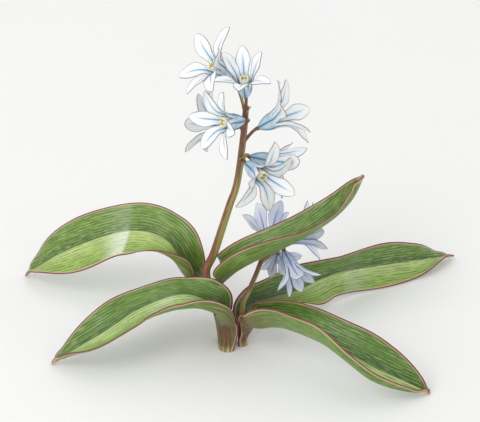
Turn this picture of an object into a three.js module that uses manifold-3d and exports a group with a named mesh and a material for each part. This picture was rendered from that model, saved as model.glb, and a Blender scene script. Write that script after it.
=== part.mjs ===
// A striped squill in flower, cut at its necks: a tall stem of white blooms with a blue line down
// each lobe, a short stem of lilac blooms, and five strap leaves that rise round them and arch out.
// Millimetres, +Z up. The cut ends stand on the plane Z = 0. X runs to the right and Y runs away
// from the side that the blooms face. Places are counted from the middle of the tall stem's cut
// end, and at the end the plant is moved so that the origin is the middle of the floor it covers.
import * as THREE from "three";
import { mergeVertices } from "three/addons/utils/BufferGeometryUtils.js";
import Module from "manifold-3d";

const wasm = await Module();
wasm.setup();

const LEAF_THICKNESS = 0.8;
const LEAF_ROWS = 22;
const LEAF_COLUMNS = 8;
const LEAF_TIP_HALF_WIDTH = 0.7;
const LEAF_CLOSING_START = 0.62;
const LEAF_CLOSING = { sharpness: 2.2, fullness: 0.85 };
const SECTION_STEPS = 12;
const PETAL_THICKNESS = 0.6;
const SEAT_GAP = 0.35;

const LOBES = 6;
const LOBE_LENGTH = 15;
const LOBE_HALF_WIDTH = 3.2;
const LOBE_SPACING = 0.7;
const LOBE_ROWS = [0.2, 0.42, 0.65, 0.85];
const LOBE_COLUMNS = 4;
const LOBE_START_LEAN = 15;
const LOBE_TIP_HOOK = 15;
const LOBE_EDGE_LIFT = 0.16;
const LOBE_CLOSING_START = 0.5;
const LOBE_CLOSING = { sharpness: 2.2, fullness: 0.8 };
const LOBE_BENDING_STEPS = 40;
const BELL_LENGTH = 6;
const BELL_FOOT_RADIUS = 0.8;
const THROAT_RADIUS = 3.1;
const BELL_RINGS = [0.3];

const CUP_FLOOR = 2.6;
const CUP_RIM = 9.2;
const CUP_FLOOR_RADIUS = 1;
const CUP_RIM_RADIUS = 1.7;
const CUP_TOOTH = 0.9;
const CUP_WALL = 0.6;
const CUP_COLUMNS = 12;
const ANTHER_RADIUS = 0.55;
const PISTIL_RADIUS = 0.5;
const PISTIL_TOP = 7;

const TALL_STEM_RADII = [1.9, 1.2];
const SHORT_STEM_RADII = [1.15, 0.95];
const PEDICEL_RADIUS = 0.7;
const BRACT_LENGTH = 4;
const BRACT_HALF_WIDTH = 0.9;
const STEM_SIDES = 8;
const PEDICEL_SIDES = 6;
const PEDICEL_ROWS = 5;
const CUT_DEPTH = 20;

// Each neck is the line of centres that the stem climbs and its leaves hug. It starts below the cut.
const TALL_NECK = [[0.4, -0.2, -2], [-1.2, 1.2, 11], [-5.8, 3.4, 21]];
const FRONT_NECK = [[0.9, -5.8, -2], [0.7, -6.4, 8]];
const SHORT_NECK = [[6.8, -3.5, -2], [6.8, -3.3, 4]];

// A leaf hugs its neck at the given distances, on the side given by stands, then follows its path
// of points to the tip. Roll, half width, fold at the midrib, curl of both halves and the further
// hook of the half on the near side are given as [place along the leaf, value] keys.
const LEAVES = [
  {
    name: "leaf_left_front",
    neck: FRONT_NECK,
    hug: [3.3, 3.4],
    stands: 190,
    bearing: 182,
    nearSide: 1,
    path: [
      [-3.3, -7.6, 13.5], [-4, -11.5, 23], [-16.2, -11.4, 28.3], [-32.9, -11.5, 21.9],
      [-46.4, -19, 16.3], [-68.1, -18.3, 0.5],
    ],
    roll: [[0, 0], [0.12, 16], [0.3, -4], [0.5, -10], [0.75, -25], [1, 1]],
    width: [[0, 7.5], [0.14, 9.8], [0.3, 12.5], [0.6, 10.7]],
    fold: [[0.1, 7], [0.35, -24], [0.75, -3], [0.93, 8], [1, 60]],
    curl: [[0, 120], [0.12, 127], [0.28, 90], [0.4, 39], [0.8, 44]],
    hook: [[0, 0], [0.12, -19], [0.25, 97], [0.4, 102], [0.6, 31], [0.8, 34], [1, 76]],
  },
  {
    name: "leaf_left_back",
    neck: TALL_NECK,
    hug: [3.25, 4, 5.2],
    stands: 140,
    bearing: 150,
    nearSide: 1,
    path: [
      [-14.5, 10.1, 24], [-23.3, 12.6, 38.5], [-38.8, 22.9, 36.9], [-64.5, 35.6, 20.8],
      [-85.3, 47.8, 0.5],
    ],
    roll: [[0.18, 4], [0.3, -10], [0.5, -43], [0.75, -60], [1, -23]],
    width: [[0, 2.9], [0.16, 2.9], [0.3, 11.7], [0.6, 11.8]],
    fold: [[0.16, 0], [0.35, 8], [0.75, 10], [0.9, 30], [1, 54]],
    curl: [[0, 62], [0.16, 62], [0.28, 106], [0.4, 2], [0.7, -7]],
    hook: [[0, 0], [0.12, 0], [0.25, 121], [0.45, 24], [0.8, -1], [1, 6]],
  },
  {
    name: "leaf_right_up",
    neck: TALL_NECK,
    hug: [2.7, 3.2, 3.9],
    stands: 15,
    bearing: 15,
    nearSide: -1,
    path: [[1.8, 4, 27], [10.1, -3, 37.7], [32, -1.9, 49.5], [47.5, 0.1, 62.4], [53, -5.5, 78]],
    roll: [[0.2, 0], [0.3, -12], [0.5, -15], [0.8, -7], [1, -22]],
    width: [[0, 2.5], [0.2, 2.5], [0.35, 10.3], [0.6, 10.8]],
    fold: [[0.2, 0], [0.35, 43], [0.8, 17], [0.93, 28], [1, 69]],
    curl: [[0.2, 52], [0.35, 47], [0.5, 30], [0.8, 28]],
    hook: [[0, 0], [0.2, 0], [0.35, 15], [0.6, -3], [0.85, 8], [1, 30]],
  },
  {
    name: "leaf_right_back",
    neck: SHORT_NECK,
    hug: [2, 2],
    stands: 80,
    bearing: 38,
    nearSide: -1,
    path: [[8.6, 3.5, 12.8], [28.6, 18.9, 10.7], [43.7, 28, 13], [62.4, 40.5, 9.6], [98.4, 61.6, 1.5]],
    roll: [[0, 42], [0.05, 42], [0.15, 8], [0.3, 24], [0.5, 90], [0.8, 64], [1, -22]],
    width: [[0, 1.9], [0.05, 1.9], [0.2, 8.1], [0.35, 10], [0.6, 10]],
    fold: [[0.05, 0], [0.3, 12], [0.75, 5], [0.93, 19], [1, 55]],
    curl: [[0.05, 54], [0.16, 40], [0.3, 15]],
    hook: [[0, 0], [0.2, 46], [0.6, -21], [0.85, 19], [1, -50]],
  },
  {
    name: "leaf_right_front",
    neck: SHORT_NECK,
    hug: [2.35, 2.4],
    stands: -70,
    bearing: -20,
    nearSide: -1,
    path: [
      [11.7, -9.1, 12.5], [14.1, -13.7, 14.5], [24.3, -20.9, 18.8], [44.9, -36, 18.5],
      [60, -38.9, 11.6], [79, -37.8, 0.5],
    ],
    roll: [[0, -50], [0.06, -50], [0.22, 7], [0.5, -8], [0.8, 32], [1, 31]],
    width: [[0, 2.1], [0.06, 2.3], [0.25, 11.9], [0.6, 12.2]],
    fold: [[0.06, 0], [0.3, 46], [0.8, -4], [0.93, 2], [1, 74]],
    curl: [[0, 60], [0.2, 71], [0.4, 54]],
    hook: [[0, 0], [0.2, 3], [0.4, -28], [0.6, 54], [0.8, 155], [1, 122]],
  },
];

const STEMS = [
  {
    name: "stem_tall",
    path: [
      ...TALL_NECK, [-7.5, 5, 29], [-4.5, 6.5, 36], [-1, 8.5, 47], [2, 9.5, 57], [5, 10.5, 67],
      [7.5, 11.5, 88], [8.3, 11.5, 99],
    ],
    radii: TALL_STEM_RADII,
    rows: 20,
    bracts: [
      { foot: [8.6, 10.8, 96], bearing: -20, rise: 72 },
      { foot: [6.2, 10, 76], bearing: -60, rise: 60 },
    ],
  },
  {
    name: "stem_short",
    path: [...SHORT_NECK, [7, -1.5, 16.5], [9.5, 0.5, 22.5], [12.5, 4, 28.5], [14.5, 7, 33]],
    radii: SHORT_STEM_RADII,
    rows: 10,
    bracts: [],
  },
];

// A bloom stands on its bell's foot and faces along its bearing and rise. Its lobes are counted
// round that axis from the turn, and each leans out from the axis and veers sideways as given in
// degrees. The stalk is the pedicel's way from inside the stem.
const BLOOMS = [
  {
    name: "a",
    petals: "white",
    foot: [2.5, 20, 107],
    bearing: 200,
    rise: 40,
    turn: 165,
    size: 1.05,
    lean: [60, 80, 65, 85, 50, 85],
    veer: [-5, 5, 14, -6, -10, 0],
    stalk: [[8, 11.5, 95], [6.5, 16, 100.5]],
  },
  {
    name: "b",
    petals: "white",
    foot: [8.2, 11.7, 103],
    bearing: 250,
    rise: 77,
    turn: 346,
    size: 0.92,
    lean: [70, 24, 36, 40, 62, 66],
    veer: [-8, 0, 4, -8, 6, -4],
    stalk: [[8.2, 11.5, 97]],
  },
  {
    name: "c",
    petals: "white",
    foot: [7.5, 8.5, 94.5],
    bearing: 210,
    rise: 10,
    turn: 75,
    size: 1,
    lean: [70, 85, 45, 75, 80, 75],
    veer: [0, 15, -5, -10, 2, -7],
    stalk: [[7.8, 11.5, 91.5]],
  },
  {
    name: "d",
    petals: "white",
    foot: [4.5, 16.5, 87.5],
    bearing: 160,
    rise: 0,
    turn: 75,
    size: 1.05,
    lean: [75, 75, 75, 75, 50, 60],
    veer: [-6, 0, 0, 0, 0, 6],
    stalk: [[7.3, 11.4, 85]],
  },
  {
    name: "e",
    petals: "white",
    foot: [13.5, 11.5, 90],
    bearing: 0,
    rise: 30,
    turn: 90,
    size: 1.05,
    lean: [60, 70, 45, 80, 45, 60],
    veer: [5, -10, 0, 5, -5, 0],
    stalk: [[7.2, 11.4, 83], [9.5, 11.5, 86.5]],
  },
  {
    name: "f",
    petals: "white",
    foot: [8.5, 8.5, 76],
    bearing: -50,
    rise: -10,
    turn: 85,
    size: 1.05,
    lean: [90, 60, 85, 75, 40, 105],
    veer: [-5, 10, 5, 15, 0, -20],
    stalk: [[6, 11, 74]],
  },
  {
    name: "g",
    petals: "white",
    foot: [10, 18, 73.5],
    bearing: 10,
    rise: -20,
    turn: 30,
    size: 1.05,
    lean: [45, 30, 65, 75, 75, 75],
    veer: [-5, 10, -5, 0, 0, 0],
    stalk: [[5.8, 10.9, 69]],
  },
  {
    name: "h",
    petals: "lilac",
    foot: [17.9, 11.8, 35.5],
    bearing: 92,
    rise: 16.9,
    turn: 356.1,
    size: 0.95,
    lean: [36.3, 20.9, 52.6, 24.4, 34.3, 46.2],
    veer: [8.7, 0.4, -1.7, -1.7, 6.1, -11.8],
    stalk: [[14, 6.5, 31.5], [17.5, 8.5, 33.5]],
  },
  {
    name: "i",
    petals: "lilac",
    foot: [20.9, 11.1, 39.7],
    bearing: -1.1,
    rise: 18.2,
    turn: 31,
    size: 1.02,
    lean: [65.9, 40, 22, 32, 75.6, 88],
    veer: [-4.7, -7.9, 8, -8, 7.4, 3.7],
    stalk: [[14, 6.5, 31.5], [16.5, 8, 36]],
  },
  {
    name: "j",
    petals: "lilac",
    foot: [23.5, 5.2, 38],
    bearing: -52.5,
    rise: -47,
    turn: 55.7,
    size: 0.85,
    lean: [45.1, 62.2, 57.1, 18, 18, 34.4],
    veer: [3.4, 0.6, -1.8, 6.9, 3.8, -12.8],
    stalk: [[14, 6.5, 31.5], [18.5, 6.5, 37.5]],
  },
  {
    name: "k",
    petals: "lilac",
    foot: [21.1, 11.9, 33.3],
    bearing: 94.6,
    rise: -49.2,
    turn: 350.1,
    size: 0.7,
    lean: [28, 30, 31, 80, 26, 24],
    veer: [-8, 3.9, 6.5, 4.1, 5, 3.7],
    stalk: [[14, 6.5, 31.5], [18.5, 8.5, 35]],
  },
];

const { degToRad, lerp, smoothstep } = THREE.MathUtils;
const UP = new THREE.Vector3(0, 0, 1);
const LOBE_STEP = (2 * Math.PI) / LOBES;
const BELL_COLUMNS = LOBES * LOBE_COLUMNS;
const THROAT_START = 1 + BELL_RINGS.length * BELL_COLUMNS;

const greenLeaf = new THREE.MeshStandardMaterial({ color: 0x5f8a34, roughness: 0.6 });
const stemSkin = new THREE.MeshStandardMaterial({ color: 0x8c7a3f, roughness: 0.65 });
const whitePetal = new THREE.MeshStandardMaterial({ color: 0xe9eef2, roughness: 0.7 });
const lilacPetal = new THREE.MeshStandardMaterial({ color: 0xb9c2e4, roughness: 0.7 });
const creamCrown = new THREE.MeshStandardMaterial({ color: 0xf1e7b8, roughness: 0.7 });

function vector(point) {
  return new THREE.Vector3(...point);
}

// The way that a bearing, counted from X towards Y, and a rise above the level point to.
function facing(bearing, rise) {
  const level = Math.cos(degToRad(rise));
  const turn = degToRad(bearing);
  return new THREE.Vector3(level * Math.cos(turn), level * Math.sin(turn), Math.sin(degToRad(rise)));
}

// The value at a place on smooth steps between [place, value] keys.
function keyed(keys, place) {
  let value = keys[0][1];
  for (let i = 1; i < keys.length; i += 1) {
    const [start, from] = keys[i - 1];
    const [end, to] = keys[i];
    if (place > start) value = lerp(from, to, smoothstep(place, start, end));
  }
  return value;
}

// The share of its full width that a blade keeps, which falls from 1 at the start to 0 at its tip.
function closed(place, start, { sharpness, fullness }) {
  const closing = Math.max(0, (place - start) / (1 - start));
  return (1 - closing ** sharpness) ** fullness;
}

function smoothCurve(points) {
  return new THREE.CatmullRomCurve3(points, false, "catmullrom", 0.5);
}

function solidOf(points, faces) {
  const vertProperties = new Float32Array(points.flatMap((point) => point.toArray()));
  const triVerts = new Uint32Array(faces.flat());
  return new wasm.Manifold(new wasm.Mesh({ numProp: 3, vertProperties, triVerts }));
}

function solidOfGeometry(geometry) {
  geometry.deleteAttribute("normal");
  geometry.deleteAttribute("uv");
  const merged = mergeVertices(geometry, 1e-4);
  const vertProperties = new Float32Array(merged.getAttribute("position").array);
  const triVerts = new Uint32Array(merged.index.array);
  return new wasm.Manifold(new wasm.Mesh({ numProp: 3, vertProperties, triVerts }));
}

function meshOf(name, solid, material) {
  const { vertProperties, triVerts } = solid.getMesh();
  const geometry = new THREE.BufferGeometry();
  geometry.setAttribute("position", new THREE.BufferAttribute(vertProperties, 3));
  geometry.setIndex(new THREE.BufferAttribute(triVerts, 1));
  geometry.computeVertexNormals();
  const mesh = new THREE.Mesh(geometry, material);
  mesh.name = name;
  return mesh;
}

function joined(solids) {
  return solids.reduce((whole, piece) => whole.add(piece));
}

// Everything below the plane that the plant was cut on is taken away.
function cutFlat(solid) {
  const block = new THREE.BoxGeometry(4 * CUT_DEPTH, 4 * CUT_DEPTH, CUT_DEPTH);
  block.translate(0, 0, -CUT_DEPTH / 2);
  return solid.subtract(solidOfGeometry(block));
}

// The edges of a sheet that only one of its triangles has, in that triangle's direction.
function rimOf(faces) {
  const edges = faces.flatMap(([a, b, c]) => [[a, b], [b, c], [c, a]]);
  const known = new Set(edges.map(([a, b]) => `${a} ${b}`));
  return edges.filter(([a, b]) => !known.has(`${b} ${a}`));
}

// A sheet of points and triangles becomes a closed solid with half its thickness on either side.
// Both faces are split into the same triangles, so that they never cross.
function thickened(points, faces, thickness) {
  const sheet = new THREE.BufferGeometry().setFromPoints(points);
  sheet.setIndex(faces.flat());
  sheet.computeVertexNormals();
  const normals = sheet.getAttribute("normal");
  const offset = (side) => points.map((point, i) =>
    new THREE.Vector3().fromBufferAttribute(normals, i).multiplyScalar((side * thickness) / 2).add(point));
  const count = points.length;
  const back = faces.map(([a, b, c]) => [a + count, c + count, b + count]);
  const rim = rimOf(faces).flatMap(([a, b]) => [[b, a, a + count], [b, a + count, b + count]]);
  return solidOf([...offset(1), ...offset(-1)], [...faces, ...back, ...rim]);
}

// The triangles of a grid of points, split the same way on either side of its middle column.
function gridFaces(rows, columns) {
  const at = (row, column) => row * (columns + 1) + column;
  const faces = [];
  for (let row = 0; row < rows; row += 1) {
    for (let column = 0; column < columns; column += 1) {
      const a = at(row, column);
      const b = at(row + 1, column);
      const c = at(row + 1, column + 1);
      const d = at(row, column + 1);
      if (column < columns / 2) faces.push([a, b, c], [a, c, d]);
      else faces.push([a, b, d], [b, c, d]);
    }
  }
  return faces;
}

// Leaves

function leafCurve({ neck, hug, stands, path }) {
  const side = facing(stands, 0);
  const sheath = neck.map((centre, i) => vector(centre).addScaledVector(side, hug[i]));
  return smoothCurve([...sheath, ...path.map(vector)]);
}

// Half the width of a leaf, which closes to a blunt point over its last third.
function leafHalfWidth(leaf, place) {
  const full = keyed(leaf.width, place);
  return Math.max(LEAF_TIP_HALF_WIDTH, full * closed(place, LEAF_CLOSING_START, LEAF_CLOSING));
}

// The fold that a blade of this half width can take before its two halves meet at the midrib.
function tightestFold(half) {
  const columnWidth = (2 * half) / LEAF_COLUMNS;
  return Math.atan((0.8 * columnWidth) / LEAF_THICKNESS);
}

// How far out and how high a half blade reaches at a share of its width. It leaves the midrib at the
// fold angle and turns up more and more, and the half on the near side hooks up at its margin too.
function halfBlade(share, fold, curl, hook) {
  let out = 0;
  let rise = 0;
  for (let step = 0; step < SECTION_STEPS; step += 1) {
    const walked = ((step + 0.5) / SECTION_STEPS) * share;
    const angle = fold + curl * walked + hook * walked ** 3;
    out += (Math.cos(angle) * share) / SECTION_STEPS;
    rise += (Math.sin(angle) * share) / SECTION_STEPS;
  }
  return { out, rise };
}

// One row of points across a leaf.
function leafRow(leaf, curve, place) {
  const along = curve.getTangentAt(place);
  const across = facing(leaf.bearing + 90, 0);
  across.addScaledVector(along, -across.dot(along)).normalize();
  const up = along.clone().cross(across);
  const roll = degToRad(keyed(leaf.roll, place));
  across.applyAxisAngle(along, roll);
  up.applyAxisAngle(along, roll);
  const half = leafHalfWidth(leaf, place);
  const fold = Math.min(degToRad(keyed(leaf.fold, place)), tightestFold(half));
  const curl = degToRad(keyed(leaf.curl, place));
  const hook = degToRad(keyed(leaf.hook, place));
  const middle = curve.getPointAt(place);
  return Array.from({ length: LEAF_COLUMNS + 1 }, (_, column) => {
    const q = (2 * column) / LEAF_COLUMNS - 1;
    const nearHook = q * leaf.nearSide > 0 ? hook : 0;
    const { out, rise } = halfBlade(Math.abs(q), fold, curl, nearHook);
    return middle.clone()
      .addScaledVector(across, Math.sign(q) * half * out)
      .addScaledVector(up, half * rise);
  });
}

function leafSolid(leaf) {
  const curve = leafCurve(leaf);
  const places = Array.from({ length: LEAF_ROWS + 1 }, (_, row) => row / LEAF_ROWS);
  const points = places.flatMap((place) => leafRow(leaf, curve, place));
  return cutFlat(thickened(points, gridFaces(LEAF_ROWS, LEAF_COLUMNS), LEAF_THICKNESS));
}

// Stems

// A round stem along a curve, closed at both ends, whose radius goes evenly from the first to the last.
function sweep(points, [startRadius, endRadius], rows, sides) {
  const curve = smoothCurve(points);
  const frames = curve.computeFrenetFrames(rows);
  const rings = [];
  for (let row = 0; row <= rows; row += 1) {
    const centre = curve.getPointAt(row / rows);
    const radius = lerp(startRadius, endRadius, row / rows);
    for (let side = 0; side < sides; side += 1) {
      const angle = (2 * Math.PI * side) / sides;
      rings.push(centre.clone()
        .addScaledVector(frames.normals[row], radius * Math.cos(angle))
        .addScaledVector(frames.binormals[row], radius * Math.sin(angle)));
    }
  }
  const start = rings.length;
  const end = start + 1;
  const faces = [];
  for (let side = 0; side < sides; side += 1) {
    const next = (side + 1) % sides;
    faces.push([start, next, side], [end, rows * sides + side, rows * sides + next]);
    for (let row = 0; row < rows; row += 1) {
      const low = row * sides;
      const high = low + sides;
      faces.push([low + side, low + next, high + next], [low + side, high + next, high + side]);
    }
  }
  return solidOf([...rings, curve.getPointAt(0), curve.getPointAt(1)], faces);
}

function pedicelSolid(bloom) {
  const axis = facing(bloom.bearing, bloom.rise);
  const foot = vector(bloom.foot);
  const seat = foot.clone().addScaledVector(axis, -PETAL_THICKNESS / 2 - SEAT_GAP);
  const neck = foot.clone().addScaledVector(axis, -3 * PEDICEL_RADIUS);
  const way = [...bloom.stalk.map(vector), neck, seat];
  return sweep(way, [PEDICEL_RADIUS, PEDICEL_RADIUS], PEDICEL_ROWS, PEDICEL_SIDES);
}

function bractSolid({ foot, bearing, rise }) {
  const scale = new THREE.SphereGeometry(1, 6, 4);
  scale.scale(BRACT_HALF_WIDTH, BRACT_LENGTH / 2, BRACT_HALF_WIDTH / 2);
  scale.translate(0, BRACT_LENGTH / 2, 0);
  const turn = new THREE.Quaternion().setFromUnitVectors(new THREE.Vector3(0, 1, 0), facing(bearing, rise));
  scale.applyQuaternion(turn);
  scale.translate(...foot);
  return solidOfGeometry(scale);
}

function stemSolid(stem, blooms) {
  const scape = sweep(stem.path.map(vector), stem.radii, stem.rows, STEM_SIDES);
  const pieces = [scape, ...blooms.map(pedicelSolid), ...stem.bracts.map(bractSolid)];
  return cutFlat(joined(pieces));
}

// Blooms. A bell is built upright on its foot, and its group turns it to face its way.

function bellRadius(share) {
  return lerp(BELL_FOOT_RADIUS, THROAT_RADIUS, Math.sin((share * Math.PI) / 2) ** 0.8);
}

function ring(radius, height) {
  return Array.from({ length: BELL_COLUMNS }, (_, column) => {
    const angle = (column / LOBE_COLUMNS - 0.5) * LOBE_STEP;
    return new THREE.Vector3(radius * Math.cos(angle), radius * Math.sin(angle), height);
  });
}

// How far a lobe leans out from the bell's axis at a share of its length.
function lobeLean(share, lean) {
  const opened = lerp(LOBE_START_LEAN, lean, smoothstep(share, 0, 0.6));
  return degToRad(opened + LOBE_TIP_HOOK * smoothstep(share, 0.7, 1));
}

// How far out and how high a lobe's midline has come, adding up short steps that lean more and more.
function lobeReach(share, lean) {
  const steps = Math.round(share * LOBE_BENDING_STEPS);
  let out = THROAT_RADIUS;
  let height = BELL_LENGTH;
  for (let step = 0; step < steps; step += 1) {
    const angle = lobeLean(((step + 0.5) / steps) * share, lean);
    out += (Math.sin(angle) * share * LOBE_LENGTH) / steps;
    height += (Math.cos(angle) * share * LOBE_LENGTH) / steps;
  }
  return { out, height };
}

// Half the width of a lobe, which keeps clear of the planes between it and its neighbours.
function lobeHalfWidth(share, out) {
  const root = THROAT_RADIUS * Math.sin(LOBE_STEP / 2);
  const full = lerp(root, LOBE_HALF_WIDTH, smoothstep(share, 0, LOBE_CLOSING_START));
  const room = out * Math.tan(LOBE_STEP / 2) - LOBE_SPACING;
  return Math.min(room, full * closed(share, LOBE_CLOSING_START, LOBE_CLOSING));
}

// One row of points across a lobe, whose edges stand a little towards the bell's axis.
function lobeRow(share, azimuth, lean) {
  const outward = new THREE.Vector3(Math.cos(azimuth), Math.sin(azimuth), 0);
  const sideways = new THREE.Vector3(-Math.sin(azimuth), Math.cos(azimuth), 0);
  const { out, height } = lobeReach(share, lean);
  const angle = lobeLean(share, lean);
  const inward = outward.clone().multiplyScalar(-Math.cos(angle)).addScaledVector(UP, Math.sin(angle));
  const middle = outward.clone().multiplyScalar(out).addScaledVector(UP, height);
  const half = lobeHalfWidth(share, out);
  const rootCup = THROAT_RADIUS * (1 - Math.cos(LOBE_STEP / 2)) * (1 - smoothstep(share, 0, 0.4));
  const cup = rootCup + LOBE_EDGE_LIFT * half * smoothstep(share, 0, 0.3);
  return Array.from({ length: LOBE_COLUMNS + 1 }, (_, column) => {
    const q = (2 * column) / LOBE_COLUMNS - 1;
    return middle.clone().addScaledVector(sideways, half * q).addScaledVector(inward, cup * q * q);
  });
}

function bellBand(low, high) {
  const faces = [];
  for (let column = 0; column < BELL_COLUMNS; column += 1) {
    const next = (column + 1) % BELL_COLUMNS;
    faces.push([low + column, high + column, high + next], [low + column, high + next, low + next]);
  }
  return faces;
}

// The bell's points and triangles: its foot, then rings up to the throat, which is the last ring.
function bellSheet() {
  const rings = [...BELL_RINGS, 1].map((share) => ring(bellRadius(share), share * BELL_LENGTH));
  const faces = [];
  for (let column = 0; column < BELL_COLUMNS; column += 1) {
    faces.push([0, 1 + column, 1 + ((column + 1) % BELL_COLUMNS)]);
  }
  BELL_RINGS.forEach((_, band) => {
    faces.push(...bellBand(1 + band * BELL_COLUMNS, 1 + (band + 1) * BELL_COLUMNS));
  });
  return { points: [new THREE.Vector3(), ...rings.flat()], faces };
}

// The triangles between two rows of a lobe, split the same way on either side of its midline.
function lobeBand(row, next) {
  return row.slice(1).flatMap((_, column) => {
    const [a, b, c, d] = [row[column], next[column], next[column + 1], row[column + 1]];
    return column < LOBE_COLUMNS / 2 ? [[a, b, c], [a, c, d]] : [[a, b, d], [b, c, d]];
  });
}

// Adds one lobe to the sheet, from its five points on the throat to its tip.
function addLobe({ points, faces }, lobe, lean, veer) {
  let row = Array.from({ length: LOBE_COLUMNS + 1 }, (_, column) =>
    THROAT_START + ((lobe * LOBE_COLUMNS + column) % BELL_COLUMNS));
  for (const share of LOBE_ROWS) {
    const azimuth = lobe * LOBE_STEP + degToRad(veer) * smoothstep(share, 0, 0.3);
    const next = row.map((_, column) => points.length + column);
    points.push(...lobeRow(share, azimuth, lean));
    faces.push(...lobeBand(row, next));
    row = next;
  }
  const azimuth = lobe * LOBE_STEP + degToRad(veer);
  const { out, height } = lobeReach(1, lean);
  const tip = points.length;
  points.push(new THREE.Vector3(out * Math.cos(azimuth), out * Math.sin(azimuth), height));
  for (let column = 0; column < LOBE_COLUMNS; column += 1) {
    faces.push([row[column], tip, row[column + 1]]);
  }
}

// The bell and its six lobes are one sheet.
function perianthSolid(bloom) {
  const sheet = bellSheet();
  for (let lobe = 0; lobe < LOBES; lobe += 1) addLobe(sheet, lobe, bloom.lean[lobe], bloom.veer[lobe]);
  const scaled = sheet.points.map((point) => point.multiplyScalar(bloom.size));
  return thickened(scaled, sheet.faces, PETAL_THICKNESS);
}

// A circle of the crown's cup, with every second point raised by the tooth.
function cupCircle(radius, height, tooth) {
  return Array.from({ length: CUP_COLUMNS }, (_, column) => {
    const angle = (2 * Math.PI * column) / CUP_COLUMNS;
    const raised = column % 2 === 0 ? tooth : 0;
    return new THREE.Vector3(radius * Math.cos(angle), radius * Math.sin(angle), height + raised);
  });
}

function cupSolid(size) {
  const points = [
    new THREE.Vector3(0, 0, CUP_FLOOR),
    ...cupCircle(CUP_FLOOR_RADIUS, CUP_FLOOR, 0),
    ...cupCircle(CUP_RIM_RADIUS, CUP_RIM, CUP_TOOTH),
  ];
  const faces = [];
  for (let column = 0; column < CUP_COLUMNS; column += 1) {
    const next = (column + 1) % CUP_COLUMNS;
    const [low, lowNext] = [1 + column, 1 + next];
    const [high, highNext] = [low + CUP_COLUMNS, lowNext + CUP_COLUMNS];
    faces.push([0, low, lowNext], [low, high, highNext], [low, highNext, lowNext]);
  }
  return thickened(points.map((point) => point.multiplyScalar(size)), faces, CUP_WALL);
}

function pistilSolid(size) {
  const pistilLength = PISTIL_TOP - CUP_FLOOR;
  const pistil = new THREE.CylinderGeometry(PISTIL_RADIUS / 2, PISTIL_RADIUS, pistilLength, 6);
  pistil.rotateX(Math.PI / 2);
  pistil.translate(0, 0, CUP_FLOOR + pistilLength / 2);
  pistil.scale(size, size, size);
  return solidOfGeometry(pistil);
}

function antherSolid(size, angle) {
  const radius = CUP_RIM_RADIUS - ANTHER_RADIUS;
  const anther = new THREE.OctahedronGeometry(ANTHER_RADIUS);
  anther.scale(1, 1, 2);
  anther.translate(radius * Math.cos(angle), radius * Math.sin(angle), CUP_RIM - ANTHER_RADIUS);
  anther.scale(size, size, size);
  return solidOfGeometry(anther);
}

// The crown is a toothed cup with an anther inside each notch and the pistil in the middle.
function crownSolid(size) {
  const anthers = Array.from({ length: LOBES }, (_, i) => antherSolid(size, (i + 0.5) * LOBE_STEP));
  return joined([cupSolid(size), pistilSolid(size), ...anthers]);
}

function bloomGroup(bloom) {
  const group = new THREE.Group();
  const axis = facing(bloom.bearing, bloom.rise);
  const level = UP.clone().cross(axis).normalize();
  const basis = new THREE.Matrix4().makeBasis(level, axis.clone().cross(level), axis);
  group.quaternion.setFromRotationMatrix(basis);
  group.rotateZ(degToRad(bloom.turn));
  group.position.copy(vector(bloom.foot));
  const petals = bloom.petals === "white" ? whitePetal : lilacPetal;
  group.add(meshOf(`bloom_${bloom.name}`, perianthSolid(bloom), petals));
  group.add(meshOf(`crown_${bloom.name}`, crownSolid(bloom.size), creamCrown));
  return group;
}

const squill = new THREE.Group();
for (const leaf of LEAVES) squill.add(meshOf(leaf.name, leafSolid(leaf), greenLeaf));
const [tallStem, shortStem] = STEMS;
const whiteBlooms = BLOOMS.filter((bloom) => bloom.petals === "white");
const lilacBlooms = BLOOMS.filter((bloom) => bloom.petals === "lilac");
squill.add(meshOf(tallStem.name, stemSolid(tallStem, whiteBlooms), stemSkin));
squill.add(meshOf(shortStem.name, stemSolid(shortStem, lilacBlooms), stemSkin));
for (const bloom of BLOOMS) squill.add(bloomGroup(bloom));

const covered = new THREE.Box3().setFromObject(squill, true).getCenter(new THREE.Vector3());
squill.position.set(-covered.x, -covered.y, 0);

export default squill;
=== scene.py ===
# %% [markdown]
# # A striped squill in flower
# This lesson dresses a small spring bulb plant: five strap leaves, a tall stem of white blooms with
# a blue line down each lobe, and a short stem of lilac blooms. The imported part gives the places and
# sizes. Each piece here is grown again along the same lines with far more detail, and stands for its
# plain solid.

import math
import random

import bmesh
import bpy
import numpy as np
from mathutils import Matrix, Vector


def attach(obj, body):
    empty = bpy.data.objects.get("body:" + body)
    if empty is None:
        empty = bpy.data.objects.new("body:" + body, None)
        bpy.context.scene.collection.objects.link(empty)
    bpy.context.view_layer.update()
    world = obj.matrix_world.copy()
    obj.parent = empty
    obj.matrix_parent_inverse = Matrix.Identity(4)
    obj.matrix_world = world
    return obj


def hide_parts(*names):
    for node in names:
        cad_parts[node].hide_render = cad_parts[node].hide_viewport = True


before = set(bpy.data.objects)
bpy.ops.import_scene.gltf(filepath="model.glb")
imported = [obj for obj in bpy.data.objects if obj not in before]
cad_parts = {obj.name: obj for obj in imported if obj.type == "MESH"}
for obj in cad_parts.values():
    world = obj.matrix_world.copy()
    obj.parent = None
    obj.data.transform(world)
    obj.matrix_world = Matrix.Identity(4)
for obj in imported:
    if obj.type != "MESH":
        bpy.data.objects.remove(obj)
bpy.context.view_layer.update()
print("nodes in the frame:", len(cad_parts))

# %% [markdown]
# ## Where the plant stands
# The shapes below are counted in millimetres from the middle of the tall stem's cut end, because a
# gardener would measure them from there. The frame's origin is the middle of the floor that the
# plant covers, so the cut end is found in the frame and every piece is moved by that much.

# %% Find the tall stem's cut end
MM = 0.001
CUT_HEIGHT = 1e-6

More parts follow.
